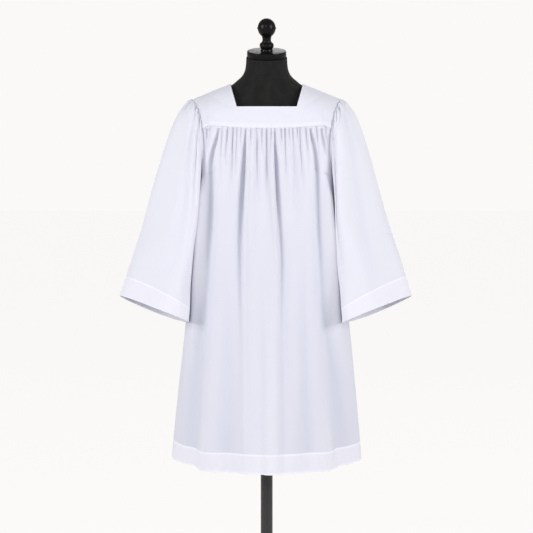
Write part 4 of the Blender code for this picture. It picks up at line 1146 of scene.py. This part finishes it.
def turn_on_lathe(name, profile, material, segments=96, tilt=0.0, foot=(0.0, 0.0, 0.0)):
    """A turned piece, drawn up ring by ring from its lowest disc. The profile has (radius, height) pairs."""
    deselect_all()
    radius, height = profile[0]
    bpy.ops.mesh.primitive_circle_add(vertices=segments, radius=radius, fill_type="NGON",
                                      location=(0.0, 0.0, height))
    piece = bpy.context.object
    piece.name = piece.data.name = name
    bpy.ops.object.transform_apply(location=True, rotation=True, scale=True)
    bpy.ops.object.mode_set(mode="EDIT")
    bpy.ops.mesh.select_all(action="SELECT")
    for next_radius, next_height in profile[1:]:
        bpy.ops.mesh.extrude_region_move(TRANSFORM_OT_translate={"value": (0.0, 0.0, next_height - height)})
        scale = next_radius / radius
        bpy.ops.transform.resize(value=(scale, scale, 1.0), center_override=(0.0, 0.0, next_height))
        radius, height = next_radius, next_height
    bpy.ops.mesh.select_all(action="SELECT")
    bpy.ops.mesh.normals_make_consistent(inside=False)
    bpy.ops.object.mode_set(mode="OBJECT")
    piece.data.materials.append(material)
    bpy.ops.object.shade_smooth_by_angle(angle=radians(38.0))
    piece.data.transform(Matrix.Translation(foot) @ Matrix.Rotation(tilt, 4, "X"))
    return piece


def rounded(radius, low, high, edge):
    """The outline of a disc with rounded rims, from its lower face to its upper face."""
    steps = [radians(step) for step in range(0, 91, 15)]
    outline = [(radius - edge + edge * sin(turn), low + edge - edge * cos(turn)) for turn in steps]
    return outline + [(radius - edge + edge * cos(turn), high - edge + edge * sin(turn)) for turn in steps]


class SURPLICE_OT_neck_fittings(bpy.types.Operator):
    """Turns the neck's cap and the finial that stands on it"""
    bl_idname = "surplice.neck_fittings"
    bl_label = "Turn the Cap and Finial"

    def execute(self, context):
        lacquer = lacquer_material(context.scene.surplice_colours)
        seat = (0.0, 0.0, CAP_TOP_Z)
        cap = turn_on_lathe("neck_cap_lacquered", rounded(CAP_RADIUS, -CAP_THICK, 0.0, 0.0028), lacquer,
                            tilt=NECK_TILT, foot=seat)
        finish_piece(cap, "gloss_wood", "neck_cap")
        ball_radius, ball_z, ball_height, ridge = 0.0236, 0.0595, 0.0250, 0.0011
        foot = [(0.0165, 0.0003), (0.0163, 0.0022), (0.0152, 0.0040), (0.0150, 0.0058)]
        bead = [(0.0150 + 0.0036 * cos(radians(step)), 0.0140 + 0.0068 * sin(radians(step)))
                for step in range(-75, 76, 15)]
        waist = [(0.0132, 0.0222), (0.0120, 0.0244), (0.0113, 0.0270), (0.0112, 0.0300), (0.0115, 0.0330),
                 (0.0124, 0.0358)]

        def ball(first, last):
            return [(ball_radius * sin(radians(step)), ball_z + ball_height * cos(radians(step)))
                    for step in range(first, last, -6)]

        ring = [(ball_radius, ball_z - 0.0019), (ball_radius + ridge, ball_z - 0.0014),
                (ball_radius + ridge, ball_z + 0.0014), (ball_radius, ball_z + 0.0019)]
        outline = foot + bead + waist + ball(146, 93) + ring + ball(84, 5) + [(0.0012, ball_z + ball_height)]
        finial = turn_on_lathe("finial_lacquered", outline, lacquer, tilt=NECK_TILT, foot=seat)
        finish_piece(finial, "gloss_wood", "finial")
        return {"FINISHED"}


class SURPLICE_OT_stand(bpy.types.Operator):
    """Turns the pole and the round base"""
    bl_idname = "surplice.stand"
    bl_label = "Turn the Pole and Base"

    def execute(self, context):
        sizes = context.scene.surplice_stand
        paint = paint_material(context.scene.surplice_colours)
        boss_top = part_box("stand_base")[1].z
        pole_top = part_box("stand_pole")[1].z
        pole = turn_on_lathe("stand_pole_painted", rounded(sizes.pole_radius, boss_top, pole_top, 0.0008),
                             paint, segments=64)
        finish_piece(pole, "stand_steel", "stand_pole")
        thick, radius = sizes.base_thick, sizes.base_radius
        outline = [(radius - 0.0015, 0.0), (radius - 0.0004, 0.0006), (radius, 0.0018),
                   (radius, thick - 0.0085)]
        outline += [(radius - 0.006 + 0.006 * cos(radians(step)), thick - 0.010 + 0.006 * sin(radians(step)))
                    for step in range(15, 91, 15)]
        outline += [(0.060, thick - 0.0005), (0.041, thick + 0.0010), (0.036, thick + 0.0028),
                    (0.0325, thick + 0.0070), (0.0305, thick + 0.0140), (0.0300, boss_top - 0.0030),
                    (0.0292, boss_top - 0.0009), (0.0272, boss_top - 0.0001), (0.0168, boss_top)]
        base = turn_on_lathe("stand_base_painted", outline, paint, segments=128)
        finish_piece(base, "stand_steel", "stand_base")
        return {"FINISHED"}


# --- Operators: the stage -----------------------------------------------------------------------------------
# Each softbox has its place, its width in metres and its power in watts.
SOFTBOXES = (("key_softbox", (-0.9, -4.4, 2.9), 1.6, 40.0), ("left_softbox", (-3.2, -2.0, 2.3), 1.5, 90.0),
             ("right_softbox", (3.2, -2.0, 2.3), 1.5, 96.0), ("rim_softbox", (0.8, 3.2, 2.8), 2.0, 20.0))
SOFTBOX_TARGET, SOFTBOX_COLOUR = (0.0, 0.0, 1.0), (1.0, 0.99, 0.975)
FLOOR_GLOW = 0.965
AIR_COLOUR, AIR_STRENGTH = (0.97, 0.97, 0.98, 1.0), 0.42


class SURPLICE_OT_stage(bpy.types.Operator):
    """Sets up the pale studio floor, the soft light and the camera"""
    bl_idname = "surplice.stage"
    bl_label = "Set the Stage"

    def execute(self, context):
        stage = context.scene.surplice_stage
        deselect_all()
        bpy.ops.mesh.primitive_plane_add(size=60.0, location=(0.0, 0.0, -0.0005))
        floor = context.object
        floor.name = "studio_floor"
        material = new_material("pale_studio_floor", 0.9, Specular_IOR_Level=0.0,
                                Base_Color=(0.05, 0.05, 0.05, 1.0), Emission_Color=(*stage.backdrop, 1.0),
                                Emission_Strength=FLOOR_GLOW)[0]
        floor.data.materials.append(material)
        set_studio_air(context.scene, stage.backdrop)
        for name, place, size, energy in SOFTBOXES:
            lamp = bpy.data.lights.new(name, "AREA")
            lamp.shape, lamp.size, lamp.energy = "SQUARE", size, energy
            lamp.color = SOFTBOX_COLOUR
            softbox = bpy.data.objects.new(name, lamp)
            softbox.location = place
            aim = Vector(SOFTBOX_TARGET) - Vector(place)
            softbox.rotation_euler = aim.to_track_quat("-Z", "Y").to_euler()
            softbox.visible_camera = False
            context.scene.collection.objects.link(softbox)
        lens = bpy.data.cameras.new("camera")
        lens.lens, lens.sensor_width = stage.lens, 36.0
        camera = bpy.data.objects.new("camera", lens)
        camera.location = (-0.0005, -stage.distance * cos(stage.pitch),
                           stage.target_height + stage.distance * sin(stage.pitch))
        camera.rotation_euler = (pi / 2.0 - stage.pitch, 0.0, 0.0)
        context.scene.collection.objects.link(camera)
        context.scene.camera = camera
        context.scene.view_settings.view_transform = "Standard"
        return {"FINISHED"}


def set_studio_air(scene, backdrop):
    """An even, pale surround: brighter to look at than the light it gives."""
    world = bpy.data.worlds.new("studio_air")
    world.use_nodes = True
    tree = world.node_tree
    tree.nodes.clear()
    seen, lit = add_node(tree, "ShaderNodeBackground"), add_node(tree, "ShaderNodeBackground")
    seen.inputs["Color"].default_value = (*backdrop, 1.0)
    lit.inputs["Color"].default_value = AIR_COLOUR
    lit.inputs["Strength"].default_value = AIR_STRENGTH
    path, mix = add_node(tree, "ShaderNodeLightPath"), add_node(tree, "ShaderNodeMixShader")
    leave = add_node(tree, "ShaderNodeOutputWorld")
    tree.links.new(path.outputs["Is Camera Ray"], mix.inputs[0])
    tree.links.new(lit.outputs[0], mix.inputs[1])
    tree.links.new(seen.outputs[0], mix.inputs[2])
    tree.links.new(mix.outputs[0], leave.inputs["Surface"])
    scene.world = world


OPERATORS = (SURPLICE_OT_dress_form, SURPLICE_OT_neck_fittings, SURPLICE_OT_stand, SURPLICE_OT_yoke,
             SURPLICE_OT_body, SURPLICE_OT_sleeves, SURPLICE_OT_stage)
GROUPS = (("surplice_cloth", ClothSettings), ("surplice_colours", ColourSettings),
          ("surplice_stand", StandSettings), ("surplice_stage", StageSettings))


class SURPLICE_PT_panel(bpy.types.Panel):
    """Lists the steps in the order in which they are done"""
    bl_label = "Surplice"
    bl_idname = "SURPLICE_PT_panel"
    bl_space_type = "VIEW_3D"
    bl_region_type = "UI"
    bl_category = "Surplice"

    def draw(self, context):
        for operator in OPERATORS:
            self.layout.operator(operator.bl_idname)
        for name, group in GROUPS:
            box = self.layout.box()
            for value in group.__annotations__:
                box.prop(getattr(context.scene, name), value)


def register():
    for name, group in GROUPS:
        bpy.utils.register_class(group)
        setattr(bpy.types.Scene, name, PointerProperty(type=group))
    for operator in OPERATORS:
        bpy.utils.register_class(operator)
    bpy.utils.register_class(SURPLICE_PT_panel)


def unregister():
    bpy.utils.unregister_class(SURPLICE_PT_panel)
    for operator in reversed(OPERATORS):
        bpy.utils.unregister_class(operator)
    for name, group in reversed(GROUPS):
        delattr(bpy.types.Scene, name)
        bpy.utils.unregister_class(group)


def main():
    register()
    for operator in OPERATORS:
        folder, name = operator.bl_idname.split(".")
        getattr(getattr(bpy.ops, folder), name)()


if __name__ == "__main__":
    main()
